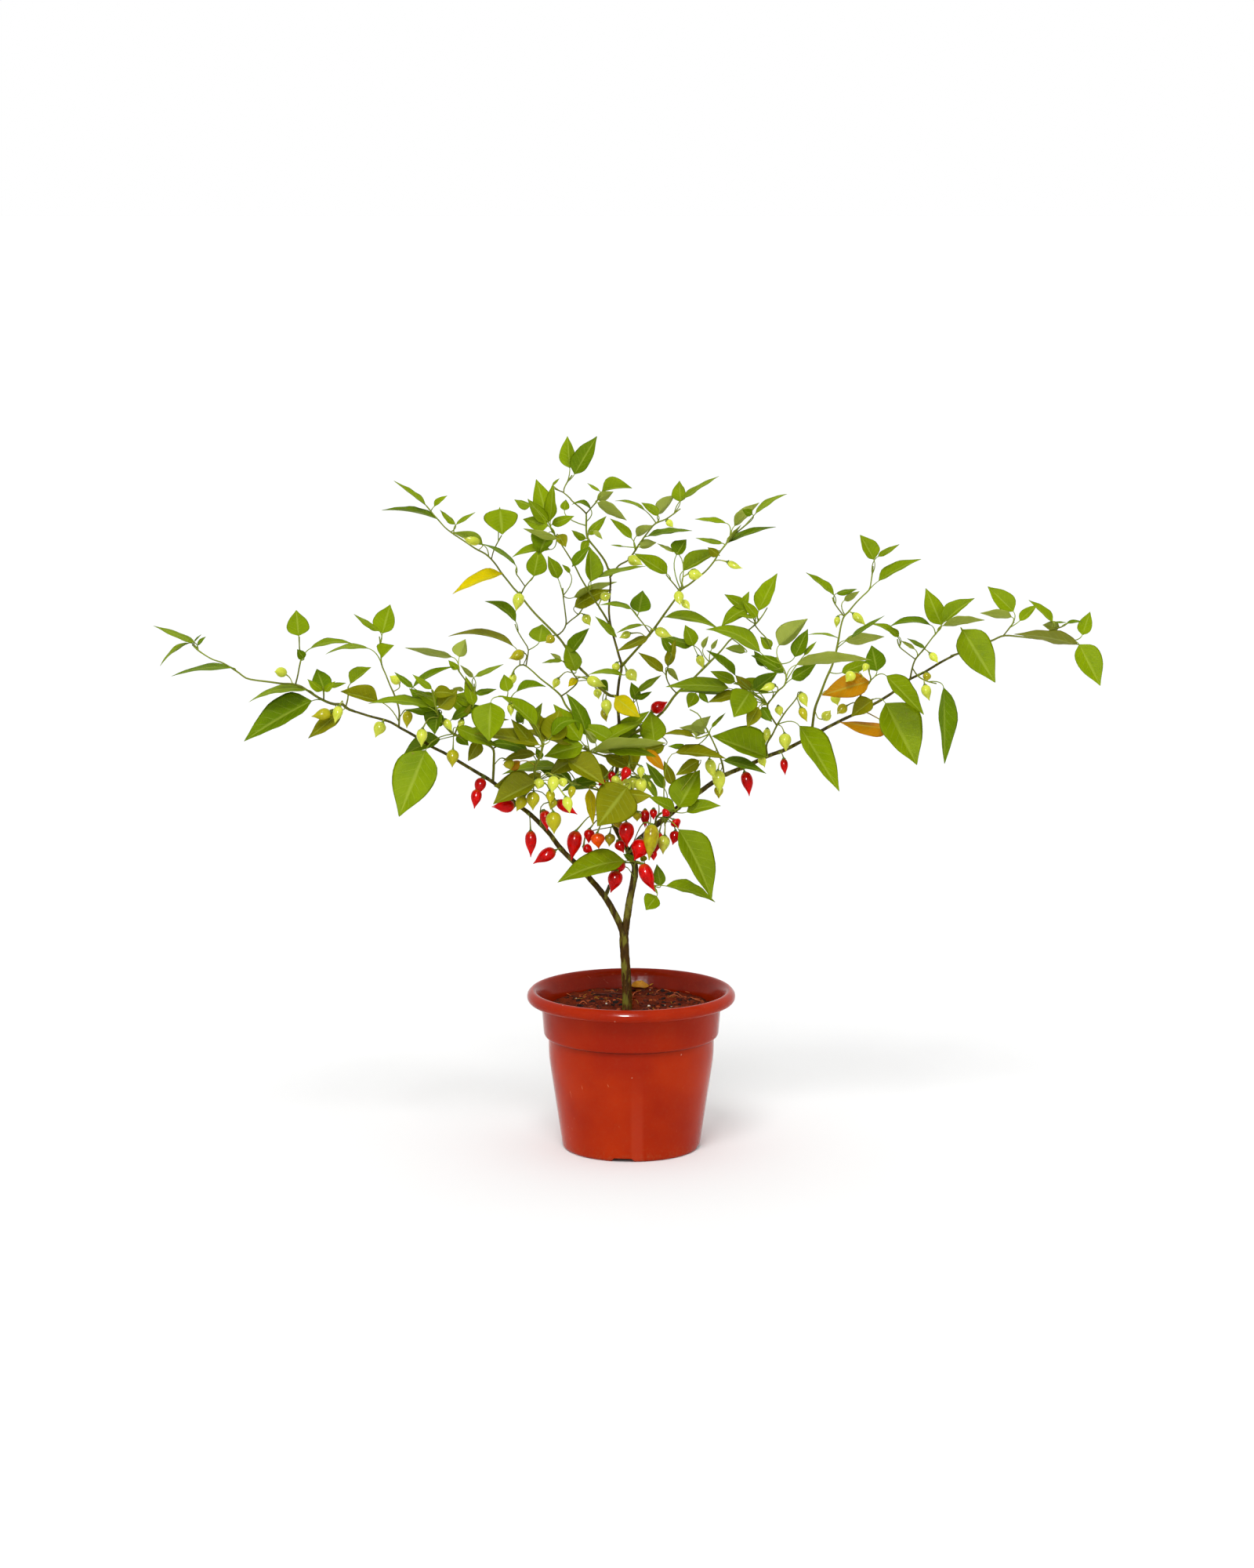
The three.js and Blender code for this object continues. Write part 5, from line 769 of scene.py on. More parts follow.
def leaf(blades, stalks, stem, row, draw):
    """A leaf on its petiole, from a row of LEAVES."""
    ax, ay, bx, by, tx, ty, bend, above, below, base_depth, tip_depth, face, tone = row
    place, radius = stem.nearest(ax, ay)
    base = at(bx, by, place[1] + base_depth)
    tip = at(tx, ty, base[1] + tip_depth)
    scale = view_scale(base)
    travel = unit(np.array([tx - bx, ty - by], float))
    side = 1 if travel[0] >= 0 else -1
    upside = side * travel[1] * RIGHT + side * travel[0] * UP
    middle = (base + tip) / 2 + 2 * bend * scale * upside
    long = np.linalg.norm(tip - base) > SMALL_LEAF_LENGTH
    shares = BLADE_STATIONS if long else SMALL_STATIONS
    ribs = bezier(base, middle, tip, np.append(shares, 1))
    length = lengths(np.diff(ribs, axis=0)).sum()
    half = max(BLADE_WIDTH_RATIO * length, above * scale, below * scale)

    # The blade leans away from the eye as far as its true width is more than what is seen of it.
    def edge(width, sign):
        slant = math.sqrt(half**2 - (width * scale) ** 2)
        return sign * (width * scale * upside + face * slant * AWAY)

    upper, lower = edge(above, 1), edge(below, -1)
    columns = BLADE_COLUMNS
    across = np.where(columns[:, None] >= 0, columns[:, None] * upper, -columns[:, None] * lower)
    inner = np.clip(1 - np.abs(columns) / MIDRIB_HALF_WIDTH, 0, 1)
    wave = draw.uniform(*WAVE_SHARES) * half
    phase, turns = draw.uniform(0, 2 * math.pi), draw.uniform(*WAVE_COUNTS)
    cup = draw.uniform(*CUP_SHARES) * half
    skew = draw.uniform(*SKEW_SHARES) * half
    along = tangents(ribs)
    rings, spots = [], []
    for share, width, rib, way in zip(shares, smooth(BLADE_OUTLINE, shares), ribs, along):
        normal = unit(np.cross(way, upper - lower))
        if (normal @ -AWAY) * face < 0:
            normal = -normal
        ripple = wave * np.sin(2 * math.pi * turns * share + phase + 1.3 * np.sign(columns))
        lift = (ripple * np.abs(columns) ** 2 + cup * columns**2) * width
        surface = rib + across * width + way * (skew * columns[:, None] * width)
        surface = surface + lift[:, None] * normal
        thick = BLADE_THICKNESS * (0.35 + 0.65 * width) / 2
        groove = MIDRIB_GROOVE * inner * (1 - 0.7 * share)
        ridge = MIDRIB_RIDGE * inner * (1 - 0.75 * share)
        top = surface + (thick - groove)[:, None] * normal
        low = surface - (thick + ridge)[:, None] * normal
        top[[0, -1]] = low[[0, -1]] = surface[[0, -1]]
        rings.append(np.vstack([top, low[-2:0:-1]]))
        # A blade's spots are (share of the length, place across, 1 on top and -1 below).
        spots += [(share, column, 1) for column in columns]
        spots += [(share, column, -1) for column in columns[-2:0:-1]]
    points, faces = loft(np.array(rings), tip=tip)
    spots.append((1, 0, 0))
    tint = leaf_tint(tone, draw)
    blades.add(points, faces, tint, np.array(spots, float))
    # The petiole leaves the stem outward and runs on into the midrib.
    gap = np.linalg.norm(base - place)
    inward = ribs[0] - along[0] * min(PETIOLE_RUN_IN * gap, LONGEST_RUN_IN)
    inside = ribs[0] + along[0] * PETIOLE_OVERLAP
    path = bezier(place, inward, inside, np.linspace(0, 1, PETIOLE_STEPS))
    radii = np.linspace(min(PETIOLE_RADII[0], 0.9 * radius), PETIOLE_RADII[1], PETIOLE_STEPS)
    tube(stalks, path, radii, PETIOLE_SIDES, TWIG_TINTS[1] * 0.55 + tint * 0.45)


# ---- Fruit ----

# (share of the fruit's length, share of its radius)
FRUIT_OUTLINE = [
    (0, 0.3), (0.02, 0.46), (0.07, 0.7), (0.14, 0.87), (0.23, 0.97), (0.34, 1.0), (0.46, 0.94),
    (0.57, 0.8), (0.67, 0.6), (0.76, 0.4), (0.84, 0.24), (0.92, 0.12), (1, 0.05)]
FRUIT_STATIONS = np.array(
    [0, 0.015, 0.05, 0.11, 0.19, 0.28, 0.38, 0.48, 0.58, 0.68, 0.77, 0.85, 0.92, 0.97])
FRUIT_SIDES = 14
FRUIT_LOBES = 3
FRUIT_LOBE_DEPTH = 0.018
PEDICEL_ARCH_PLACE = 0.6
PEDICEL_ARCH_HEIGHT = 0.3
PEDICEL_SINK = 0.4
PEDICEL_PARTS = 7
PEDICEL_SHORTEST_PART = 0.4
PEDICEL_RADII = (0.55, 0.5, 0.5, 0.55, 0.62, 0.75, 1.0)
# The calyx, ring by ring: mm past the shoulder, and the radius in mm and in shares of the fruit's.
CALYX = [(-1.6, 0.9, 0), (-0.7, 1.3, 0), (-0.1, 2.2, 0), (0.3, 0, 0.36), (0.45, 0, 0.3)]
CALYX_TOOTHED_RING = 3
CALYX_SIDES = 15
CALYX_TEETH = 5
CALYX_TOOTH_DEPTH = 0.3
CALYX_TINT = colour("6f8a34")
# What a ripeness looks like: pale green, olive, orange and red.
FRUIT_TINTS = [colour(c) for c in ("ccd248", "b0a818", "f05206", "cc0400")]


def fruit(bodies, stalks, start, start_radius, depth, row, draw):
    """A fruit that hangs on an arched stalk, from a row of FRUITS or of a bunch."""
    sx, sy, tx, ty, half, shoulder_depth, tip_depth, ripe = row
    shoulder = at(sx, sy, depth + shoulder_depth)
    tip = at(tx, ty, shoulder[1] + tip_depth)
    radius = half * view_scale(shoulder)
    axis = unit(tip - shoulder)
    length = np.linalg.norm(tip - shoulder)
    bowed = unit(np.cross(axis, draw.normal(size=3))) * draw.uniform(0, 0.05) * length
    centres = shoulder + np.outer(FRUIT_STATIONS, tip - shoulder)
    centres += np.outer(4 * FRUIT_STATIONS * (1 - FRUIT_STATIONS), bowed)
    radii = radius * smooth(FRUIT_OUTLINE, FRUIT_STATIONS)
    turn = FRUIT_LOBES * circle(FRUIT_SIDES) + draw.uniform(0, 6)
    dents = 1 + FRUIT_LOBE_DEPTH * np.outer(1 - FRUIT_STATIONS, np.cos(turn))
    points, faces = loft(hoops(centres, radii[:, None] * dents, FRUIT_SIDES), tip=tip)
    # A fruit's spots are (share of the length, share of the turn, a number of its own).
    seed = draw.uniform(0, 100)
    spots = [(share, n / FRUIT_SIDES, seed) for share in FRUIT_STATIONS for n in range(FRUIT_SIDES)]
    spots.append((1, 0, seed))
    bodies.add(points, faces, FRUIT_TINTS[ripe] * draw.uniform(0.9, 1.08), np.array(spots))
    # The stalk.
    reach = np.linalg.norm(start - shoulder)
    arch = start + PEDICEL_ARCH_PLACE * (shoulder - start) - PEDICEL_ARCH_HEIGHT * reach * axis
    end = shoulder - PEDICEL_SINK * axis
    path = through(np.array([start, arch, end]), max(reach / PEDICEL_PARTS, PEDICEL_SHORTEST_PART))
    run = np.linspace(0, 1, len(path))
    stalk = np.interp(run, np.linspace(0, 1, len(PEDICEL_RADII)), PEDICEL_RADII)
    stalk[0] = min(stalk[0], start_radius)
    green = TWIG_TINTS[1] if ripe else FRUIT_TINTS[0] * 0.6 + TWIG_TINTS[1] * 0.4
    tube(stalks, path, stalk, PETIOLE_SIDES, green * draw.uniform(0.7, 1.0))
    # The toothed calyx.
    sizes = np.array([np.full(CALYX_SIDES, fixed + part * radius) for _, fixed, part in CALYX])
    sizes[CALYX_TOOTHED_RING] *= 1 + CALYX_TOOTH_DEPTH * np.cos(CALYX_TEETH * circle(CALYX_SIDES))
    centres = np.array([shoulder + axis * past for past, _, _ in CALYX])
    points, faces = loft(hoops(centres, sizes, CALYX_SIDES))
    stalks.add(points, faces, CALYX_TINT * draw.uniform(0.8, 1.1))


STALK_RADIUS = 1.2
STALK_SPACING = 1.8
STALK_FALL = 0.8
STALK_FORWARD = 0.6
STALK_GAP = 0.35
SHORTEST_STALK = 2.4
STALK_RADII = (0.8, 0.85, 0.8, 0.55)
STALK_SIDES = 8


def bunch(bodies, stalks, stem, root_place, rows, draw):
    """Fruit on stalks that leave a short common stalk, which leans down and forward."""
    place, radius = stem.nearest(*root_place)
    root = place - AWAY * (radius + STALK_GAP + STALK_RADIUS)
    lean = -STALK_FALL * UP - STALK_FORWARD * AWAY
    for i, row in enumerate(rows):
        start = root + lean * i * STALK_SPACING
        fruit(bodies, stalks, start, STALK_RADIUS / 2, root[1], row, draw)
    reach = max(len(rows) * STALK_SPACING, SHORTEST_STALK)
    path = np.array([place - 0.2 * AWAY, root, root + lean * reach / 2, root + lean * reach])
    tube(stalks, path, np.array(STALK_RADII), STALK_SIDES, TWIG_TINTS[1] * 0.8)




# ---- Pot ----

POT_HEIGHT = 154.5
POT_WALL = 2.5
POT_FLOOR = 2.5
POT_BASE_RADIUS = 66
POT_FLANK_RADIUS = 79.4
POT_FLANK_HEIGHT = 90
POT_STEP_RADIUS = 80.3
POT_STEP_HEIGHT = 109
COLLAR_FOOT_RADIUS = 84
COLLAR_FOOT_HEIGHT = 112
COLLAR_TOP_RADIUS = 86.5
RIM_RADIUS = 100
RIM_HEIGHT = 12
RIM_INNER_RADIUS = 91.3
FOOT_RECESS = 1.2
POT_SEGMENTS = 128
LONGEST_POT_RING = 14
ROUNDING_STEPS = 5
POT_OVALNESS = 0.0012
POT_WAVINESS = 0.0007
NOTCH_COUNT = 4
NOTCH_WIDTH = 20
NOTCH_HEIGHT = 3.5
NOTCH_TURN = math.radians(-8)


def rounded(corners):
    """A profile with each corner [radius, height, rounding] rounded by an arc."""
    line = []
    for i, (r, z, fillet) in enumerate(corners):
        corner = np.array([r, z], float)
        if fillet == 0 or i in (0, len(corners) - 1):
            line.append(corner)
            continue
        before = np.array(corners[i - 1][:2], float) - corner
        after = np.array(corners[i + 1][:2], float) - corner
        reach = min(fillet, 0.48 * np.linalg.norm(before), 0.48 * np.linalg.norm(after))
        start, end = corner + unit(before) * reach, corner + unit(after) * reach
        for t in np.linspace(0, 1, ROUNDING_STEPS):
            line.append((1 - t) ** 2 * start + 2 * t * (1 - t) * corner + t**2 * end)
    return np.array(line)


def pot_profile():
    """The pot's outline as [radius, height, rounding], from the middle of its foot to its floor."""
    rim = POT_HEIGHT - RIM_HEIGHT
    wall = POT_WALL
    foot = [
        (0, FOOT_RECESS, 0), (POT_BASE_RADIUS - 9, FOOT_RECESS, 1), (POT_BASE_RADIUS - 8, 0, 1),
        (POT_BASE_RADIUS, 0, 3), (POT_BASE_RADIUS + 1.2, 8, 4)]
    body = [(POT_FLANK_RADIUS, POT_FLANK_HEIGHT, 10), (POT_STEP_RADIUS - 0.8, POT_STEP_HEIGHT, 1)]
    collar = [
        (COLLAR_FOOT_RADIUS - 1.2, POT_STEP_HEIGHT + 0.6, 1.2),
        (COLLAR_FOOT_RADIUS, COLLAR_FOOT_HEIGHT, 3), (COLLAR_TOP_RADIUS, rim + 0.8, 1)]
    rolled_rim = [
        (RIM_RADIUS - 2.6, rim, 2.5), (RIM_RADIUS, rim + 3, 3.4), (RIM_RADIUS, POT_HEIGHT - 4, 4.6),
        (RIM_RADIUS - 4, POT_HEIGHT, 4), (RIM_INNER_RADIUS + 1, POT_HEIGHT - 0.3, 3.4),
        (RIM_INNER_RADIUS - 2.8, POT_HEIGHT - 4.5, 3)]
    inside = [
        (COLLAR_TOP_RADIUS - wall, rim - 4, 3), (COLLAR_FOOT_RADIUS - wall, COLLAR_FOOT_HEIGHT, 3),
        (POT_STEP_RADIUS - wall, POT_STEP_HEIGHT, 1),
        (POT_FLANK_RADIUS - wall, POT_FLANK_HEIGHT, 3),
        (POT_BASE_RADIUS - wall, POT_FLOOR, 2), (0, POT_FLOOR, 0)]
    return foot + body + collar + rolled_rim + inside


def pot_skin(skin):
    """The pot, turned about its axis, with notches in its foot."""
    line = rounded(pot_profile())
    # The long faces get rings of their own, so that the pot's faint waviness shows.
    dense = []
    for a, b in zip(line, line[1:]):
        parts = max(1, int(np.linalg.norm(b - a) // LONGEST_POT_RING))
        dense += [a + (b - a) * (n + 1) / parts for n in range(parts)]
    line = np.array(dense[:-1])
    angles = circle(POT_SEGMENTS)
    rings = []
    for r, z in line:
        oval = POT_OVALNESS * np.sin(2 * angles + 0.7)
        wavy = POT_WAVINESS * np.sin(5 * angles + z * 0.02)
        reach = r * (1 + oval + wavy)
        rings.append(np.stack(
            [reach * np.cos(angles), reach * np.sin(angles), np.full_like(angles, z)], axis=1))
    rings = np.array(rings)
    # Notches: the foot is raised where each one is.
    quarter = 2 * math.pi / NOTCH_COUNT
    off = (angles + math.pi / 2 - NOTCH_TURN + quarter / 2) % quarter - quarter / 2
    for ring, (r, z) in zip(rings, line):
        if POT_BASE_RADIUS - 10 < r <= POT_BASE_RADIUS + 1.5 and z < NOTCH_HEIGHT:
            inside = np.abs(off) * POT_BASE_RADIUS < NOTCH_WIDTH / 2
            ring[inside, 2] = np.maximum(ring[inside, 2], NOTCH_HEIGHT)
    points, faces = loft(rings, tip=np.array([0, 0, POT_FLOOR]), root=np.array([0, 0, FOOT_RECESS]))
    faces = [face[::-1] for face in faces]
    # The pot's spots are (place across, height, 1 inside the mouth and 0 outside).
    inside = np.arange(len(points)) // POT_SEGMENTS > np.argmax(line[:, 1])
    spots = np.stack([points[:, 0], points[:, 2], inside], axis=1)
    skin.add(points, faces, spots=spots)


# ---- Soil ----

SOIL_EDGE_HEIGHT = 131.5
SOIL_RISE = 6
SOIL_CROWN = 2.5
SOIL_RADIUS = COLLAR_TOP_RADIUS - POT_WALL - 0.8
SOIL_RINGS = 46
SOIL_SEGMENTS = 150
SOIL_GAP = 0.4
SOIL_SIDE_GAP = 0.5
SOIL_GRAIN = 0.28
# The lumps of the soil's surface: (size, depth).
SOIL_LUMPS = ((26, 1.6), (9, 1.3), (3.6, 0.9))


def ground(x, y):
    """The height of the soil's surface, which rises a little to the back."""
    spread = 1 - (x * x + y * y) / SOIL_RADIUS**2
    height = SOIL_EDGE_HEIGHT + SOIL_CROWN * spread + SOIL_RISE * y / SOIL_RADIUS
    for size, depth in SOIL_LUMPS:
        height += depth * noise.noise(Vector((x / size, y / size, size)))
    return height


def soil_skin(skin, draw):
    """The soil, which fills the pot and has a rough top."""
    rings = []
    angles = circle(SOIL_SEGMENTS)
    inset = POT_WALL + SOIL_SIDE_GAP
    side = [
        (POT_BASE_RADIUS - POT_WALL - SOIL_GAP, POT_FLOOR + SOIL_GAP),
        (POT_FLANK_RADIUS - inset, POT_FLANK_HEIGHT), (POT_STEP_RADIUS - inset, POT_STEP_HEIGHT),
        (COLLAR_FOOT_RADIUS - inset, COLLAR_FOOT_HEIGHT + SOIL_SIDE_GAP)]
    for r, z in side:
        rings.append([[r * math.cos(a), r * math.sin(a), z] for a in angles])
    for share in np.linspace(1, 1 / SOIL_RINGS, SOIL_RINGS):
        r = SOIL_RADIUS * share
        rough = draw.normal(size=SOIL_SEGMENTS) * SOIL_GRAIN
        rings.append([
            [r * math.cos(a), r * math.sin(a), ground(r * math.cos(a), r * math.sin(a)) + jut]
            for a, jut in zip(angles, rough)])
    rings = np.array(rings)
    points, faces = loft(
        rings, tip=np.array([0, 0, ground(0, 0)]), root=np.array([0, 0, POT_FLOOR + SOIL_GAP]))
    skin.add(points, faces)


SHARD_SIDES = 6


def shard(skin, centre, size, turn, tint, draw):
    """An uneven crumb or chip: size is its half length, half width and half thickness."""
    shares = np.array([0.06, 0.3, 0.68, 0.94])
    swell = np.array([0.55, 0.95, 1.0, 0.5])
    direction = unit(np.array([math.cos(turn), math.sin(turn), draw.uniform(-0.25, 0.25)]))
    line = centre + np.outer(2 * shares - 1, direction) * size[0]
    rings = hoops(line, np.ones(len(shares)), SHARD_SIDES, start=np.array([0, 0, 1.0]))
    angles = circle(SHARD_SIDES)
    oval = np.sqrt((size[2] * np.cos(angles)) ** 2 + (size[1] * np.sin(angles)) ** 2)
    for i, ring in enumerate(rings):
        reach = oval * swell[i] * draw.uniform(0.72, 1.2, SHARD_SIDES)
        rings[i] = line[i] + (ring - line[i]) * reach[:, None]
    points, faces = loft(rings)
    skin.add(points, faces, tint)


LITTER_REACH = (9, 80)


def on_ground(draw):
    """A random place on the soil, whose height is set later."""
    low, high = LITTER_REACH
    r, a = math.sqrt(draw.uniform(low**2, high**2)), draw.uniform(0, 2 * math.pi)
    return np.array([r * math.cos(a), r * math.sin(a), 0.0])


CHIP_TINTS = [colour(c) for c in ("2a0c04", "5a1e08", "7a2c0c", "9a4418", "1c0802")]
PALE_TINTS = [colour(c) for c in ("cdbfa8", "b79c7c", "d9cfc0")]
CHIP_COUNT = 520
CHIP_SIZE = (1.0, 3.4)
CHIP_SHARES = ((0.35, 0.7), (0.25, 0.6))
CHIP_LIFT = 0.35
GRAIN_COUNT = 24
GRAIN_SIZE = (0.5, 1.2)
GRAIN_SHARES = ((0.7, 1), (0.6, 0.9))
GRAIN_LIFT = 0.5
FIBRE_COUNT = 60
FIBRE_LENGTH = (4, 13)
FIBRE_RADII = (0.1, 0.2, 0.25, 0.25, 0.22, 0.2, 0.1)
FIBRE_SIDES = 5
STRAW_TINTS = [colour(c) for c in ("b07818", "8a5014", "c88a26")]


def shard_size(reaches, shares, draw):
    """A random half length, and half width and half thickness in shares of it."""
    return draw.uniform(*reaches) * np.array([1, *(draw.uniform(*share) for share in shares)])


def litter_skins(chips, grains, fibres, draw):
    """Bark chips, crumbs, pale grains and fibres, each sunk a little in the soil."""
    for _ in range(CHIP_COUNT):
        spot = on_ground(draw)
        size = shard_size(CHIP_SIZE, CHIP_SHARES, draw)
        spot[2] = ground(spot[0], spot[1]) + CHIP_LIFT * size[2]
        tint = CHIP_TINTS[draw.integers(len(CHIP_TINTS))] * draw.uniform(0.7, 1.3)
        shard(chips, spot, size, draw.uniform(0, 6.3), tint, draw)
    for _ in range(GRAIN_COUNT):
        spot = on_ground(draw)
        size = shard_size(GRAIN_SIZE, GRAIN_SHARES, draw)
        spot[2] = ground(spot[0], spot[1]) + GRAIN_LIFT * size[2]
        shard(grains, spot, size, draw.uniform(0, 6.3), PALE_TINTS[draw.integers(3)], draw)
    for _ in range(FIBRE_COUNT):
        spot = on_ground(draw)
        reach, turn = draw.uniform(*FIBRE_LENGTH), draw.uniform(0, 6.3)
        bow = draw.uniform(-0.5, 0.5)
        line = []
        for t in np.linspace(-0.5, 0.5, len(FIBRE_RADII)):
            a = turn + bow * t * 2
            x, y = spot[0] + reach * t * math.cos(a), spot[1] + reach * t * math.sin(a)
            line.append([x, y, ground(x, y) + 0.5 + 1.6 * (0.25 - t * t) * draw.uniform(0.5, 1)])
        line = np.array(line)
        if np.hypot(line[:, 0], line[:, 1]).max() < SOIL_RADIUS - 1:
            tint = STRAW_TINTS[draw.integers(3)] * draw.uniform(0.6, 1.1)
            tube(fibres, line, np.array(FIBRE_RADII), FIBRE_SIDES, tint)


HALVINGS = 24


def on_soil(px, py):
    """The point of the soil's surface that is seen at a front-view place."""
    near, far = -SOIL_RADIUS, SOIL_RADIUS
    for _ in range(HALVINGS):
        middle = (near + far) / 2
        spot = at(px, py, middle)
        if spot[2] > ground(spot[0], spot[1]):
            near = middle
        else:
            far = middle
    return at(px, py, near)


# Dry bits that lie on the soil, as front-view places along each.
CURLED_BITS = [
    [(835, 1270), (841, 1265), (850, 1264), (859, 1267)], [(858, 1263), (865, 1260), (876, 1261)],
    [(868, 1262), (873, 1266), (880, 1267)], [(852, 1273), (860, 1271), (869, 1273)],
    [(880, 1272), (888, 1277), (896, 1278)], [(806, 1277), (810, 1268), (818, 1264)],
    [(712, 1272), (720, 1269), (730, 1271)], [(739, 1281), (744, 1279), (749, 1281)],
    [(772, 1279), (777, 1278), (779, 1283)], [(858, 1272), (862, 1268), (872, 1273)]]
DRY_TWIG = [(757, 1268), (768, 1269), (780, 1268), (794, 1269)]
DRY_LEAF = [(806, 1259), (812, 1262), (820, 1262), (828, 1260), (833, 1256)]
DRY_LEAF_WIDTHS = (2.2, 6.4, 6.0, 1.0, 0.6)
WHITE_GRAINS = (((828, 1284), 1.5), ((774, 1281), 1.3))
DRY_TWIG_RADII = (1.0, 0.7)
DRY_TWIG_SIDES = 7
DRY_TWIG_LIFT = 0.9
DRY_LEAF_LIFT = 1.2
DRY_LEAF_RINGS = 15
DRY_LEAF_COLUMNS = 7
CURLED_BIT_RADIUS = 0.5
CURLED_BIT_TINT = colour("c8683a")
DRY_LEAF_TINT = colour("d8962a")
WHITE_GRAIN_TINT = colour("e6dccb")


def dry_leaf(fibres):
    """A cupped strip that stands on its lower edge and thins out to its stalk."""
    knots = np.linspace(0, 1, len(DRY_LEAF))
    run = np.linspace(0, 1, DRY_LEAF_RINGS)
    line = np.array([on_soil(*place) for place in DRY_LEAF]) + (0, 0, DRY_LEAF_LIFT)
    line = np.stack([np.interp(run, knots, line[:, k]) for k in range(3)], axis=1)
    arch = np.linspace(-1, 1, DRY_LEAF_COLUMNS)
    rings = []
    for spot, width, share in zip(line, np.interp(run, knots, DRY_LEAF_WIDTHS), run):
        rise = (1 + 0.85 * arch) * width * 0.62 + 0.5 * np.sin(11 * share + 2 * arch)
        bulge = -0.3 * width * (1 - arch**2) + 0.4 * arch * width
        top = spot + np.stack([0.8 * np.sin(7 * share + 2 * arch), bulge, rise], axis=1)
        low = top[-2:0:-1] + (0, 0.35, -0.2)
        rings.append(np.vstack([top, low]))
    points, faces = loft(np.array(rings))
    fibres.add(points, faces, DRY_LEAF_TINT)


def dry_skins(fibres, grains):
    """Curled bits, a dry twig, a curled golden leaf and white grains, each where it is seen."""
    for places in CURLED_BITS:
        line = np.array([on_soil(*place) for place in places])
        line[:, 2] += np.interp(np.arange(len(line)), (0, 1, len(line) - 1), (0.3, 1.6, 0.5))
        line = through(line, 1.0)
        radii = CURLED_BIT_RADIUS * np.sin(np.linspace(0.35, math.pi - 0.35, len(line)))
        tube(fibres, line, radii, FIBRE_SIDES, CURLED_BIT_TINT)
    line = np.array([on_soil(*place) for place in DRY_TWIG]) + (0, 0, DRY_TWIG_LIFT)
    line = through(line, 1.5)
    tube(fibres, line, np.linspace(*DRY_TWIG_RADII, len(line)), DRY_TWIG_SIDES, CHIP_TINTS[1])
    dry_leaf(fibres)
    for place, size in WHITE_GRAINS:
        spot = on_soil(*place) + (0, 0, 0.5)
        size = size * np.array([1, 0.9, 0.8])
        shard(grains, spot, size, 0.4, WHITE_GRAIN_TINT, np.random.default_rng(SEED))




# ---- Materials ----

# A painted highlight band and a painted dark reflection on the pot's front: mm to the right of its
# middle.
HIGHLIGHT_BAND_PLACE = 5.5
DARK_REFLECTION_PLACE = -8


class Nodes:
    """A short way to write a node material. A call makes a node, links what the node reads to it
    and returns its output."""

    def __init__(self, name):
        self.material = bpy.data.materials.new(name)
        self.material.use_nodes = True
        self.tree = self.material.node_tree
        self.tree.nodes.clear()

    def set(self, socket, value):
        if isinstance(value, bpy.types.NodeSocket):
            self.tree.links.new(value, socket)
        elif value is not None:
            size = len(socket.default_value) if hasattr(socket.default_value, "__len__") else 0
            if size == 4 and np.ndim(value) == 1 and len(value) == 3:
                value = (*value, 1.0)
            socket.default_value = value if size == 0 else tuple(float(v) for v in value)

    def node(self, kind, inputs=(), out=0, **settings):
        made = self.tree.nodes.new("ShaderNode" + kind)
        for key, value in settings.items():
            setattr(made, key, value)
        items = inputs.items() if isinstance(inputs, dict) else enumerate(inputs)
        for key, value in items:
            self.set(made.inputs[key], value)
        return made.outputs[out]

    def math(self, operation, a, b=None):
        return self.node("Math", (a, b), operation=operation)

    def times(self, a, b):
        return self.math("MULTIPLY", a, b)

    def attribute(self, name, out="Vector"):
        return self.node("Attribute", out=out, attribute_name=name)

    def split(self, vector):
        made = self.tree.nodes.new("ShaderNodeSeparateXYZ")
        self.tree.links.new(vector, made.inputs[0])
        return made.outputs

    def place(self, scale=1):
        """Positions on the object in units of scale mm."""
        coordinates = self.node("TexCoord", out="Object")
        return self.node(
            "VectorMath", {0: coordinates, "Scale": 1000 / scale}, operation="SCALE")

    def noise(self, vector, scale, detail, roughness=0.5):
        return self.node("TexNoise", {
            "Vector": vector, "Scale": scale, "Detail": detail, "Roughness": roughness}, out="Fac")

    def ramp(self, value, low, high, to_low=0.0, to_high=1.0):
        return self.node("MapRange", (value, low, high, to_low, to_high))

    def mix(self, share, a, b, blend="MIX"):
        made = self.tree.nodes.new("ShaderNodeMix")
        made.data_type, made.blend_type = "RGBA", blend
        self.set(made.inputs[0], share)
        self.set(made.inputs[6], a)
        self.set(made.inputs[7], b)
        return made.outputs[2]

    def dyed(self, tint, factors):
        """A tint with each of its channels multiplied by a factor."""
        return self.mix(1.0, tint, factors, "MULTIPLY")

    def bump(self, height, strength, distance, normal=None):
        return self.node("Bump", {
            "Height": height, "Strength": strength, "Distance": distance, "Normal": normal})

    def surface(self, base, rough, normal, specular, **more):
        """A principled shader. The names in more have underscores for their spaces."""
        inputs = {
            "Base Color": base, "Roughness": rough, "Normal": normal,
            "Specular IOR Level": specular}
        inputs.update((name.replace("_", " "), value) for name, value in more.items())
        return self.node("BsdfPrincipled", inputs)

    def finish(self, shader):
        output = self.tree.nodes.new("ShaderNodeOutputMaterial")
        self.tree.links.new(shader, output.inputs["Surface"])
        return self.material


# Side veins: how many there are to a side, and in shares of the blade's length how far they are
# moved, the two sides in opposite ways, and how far they curve. Then the share of glow in a blade's
# look, which is light that comes through it.
VEIN_COUNT = 8.5
VEIN_STAGGER = 0.032
VEIN_CURVE = 0.2
GLOW_SHARE = 0.36


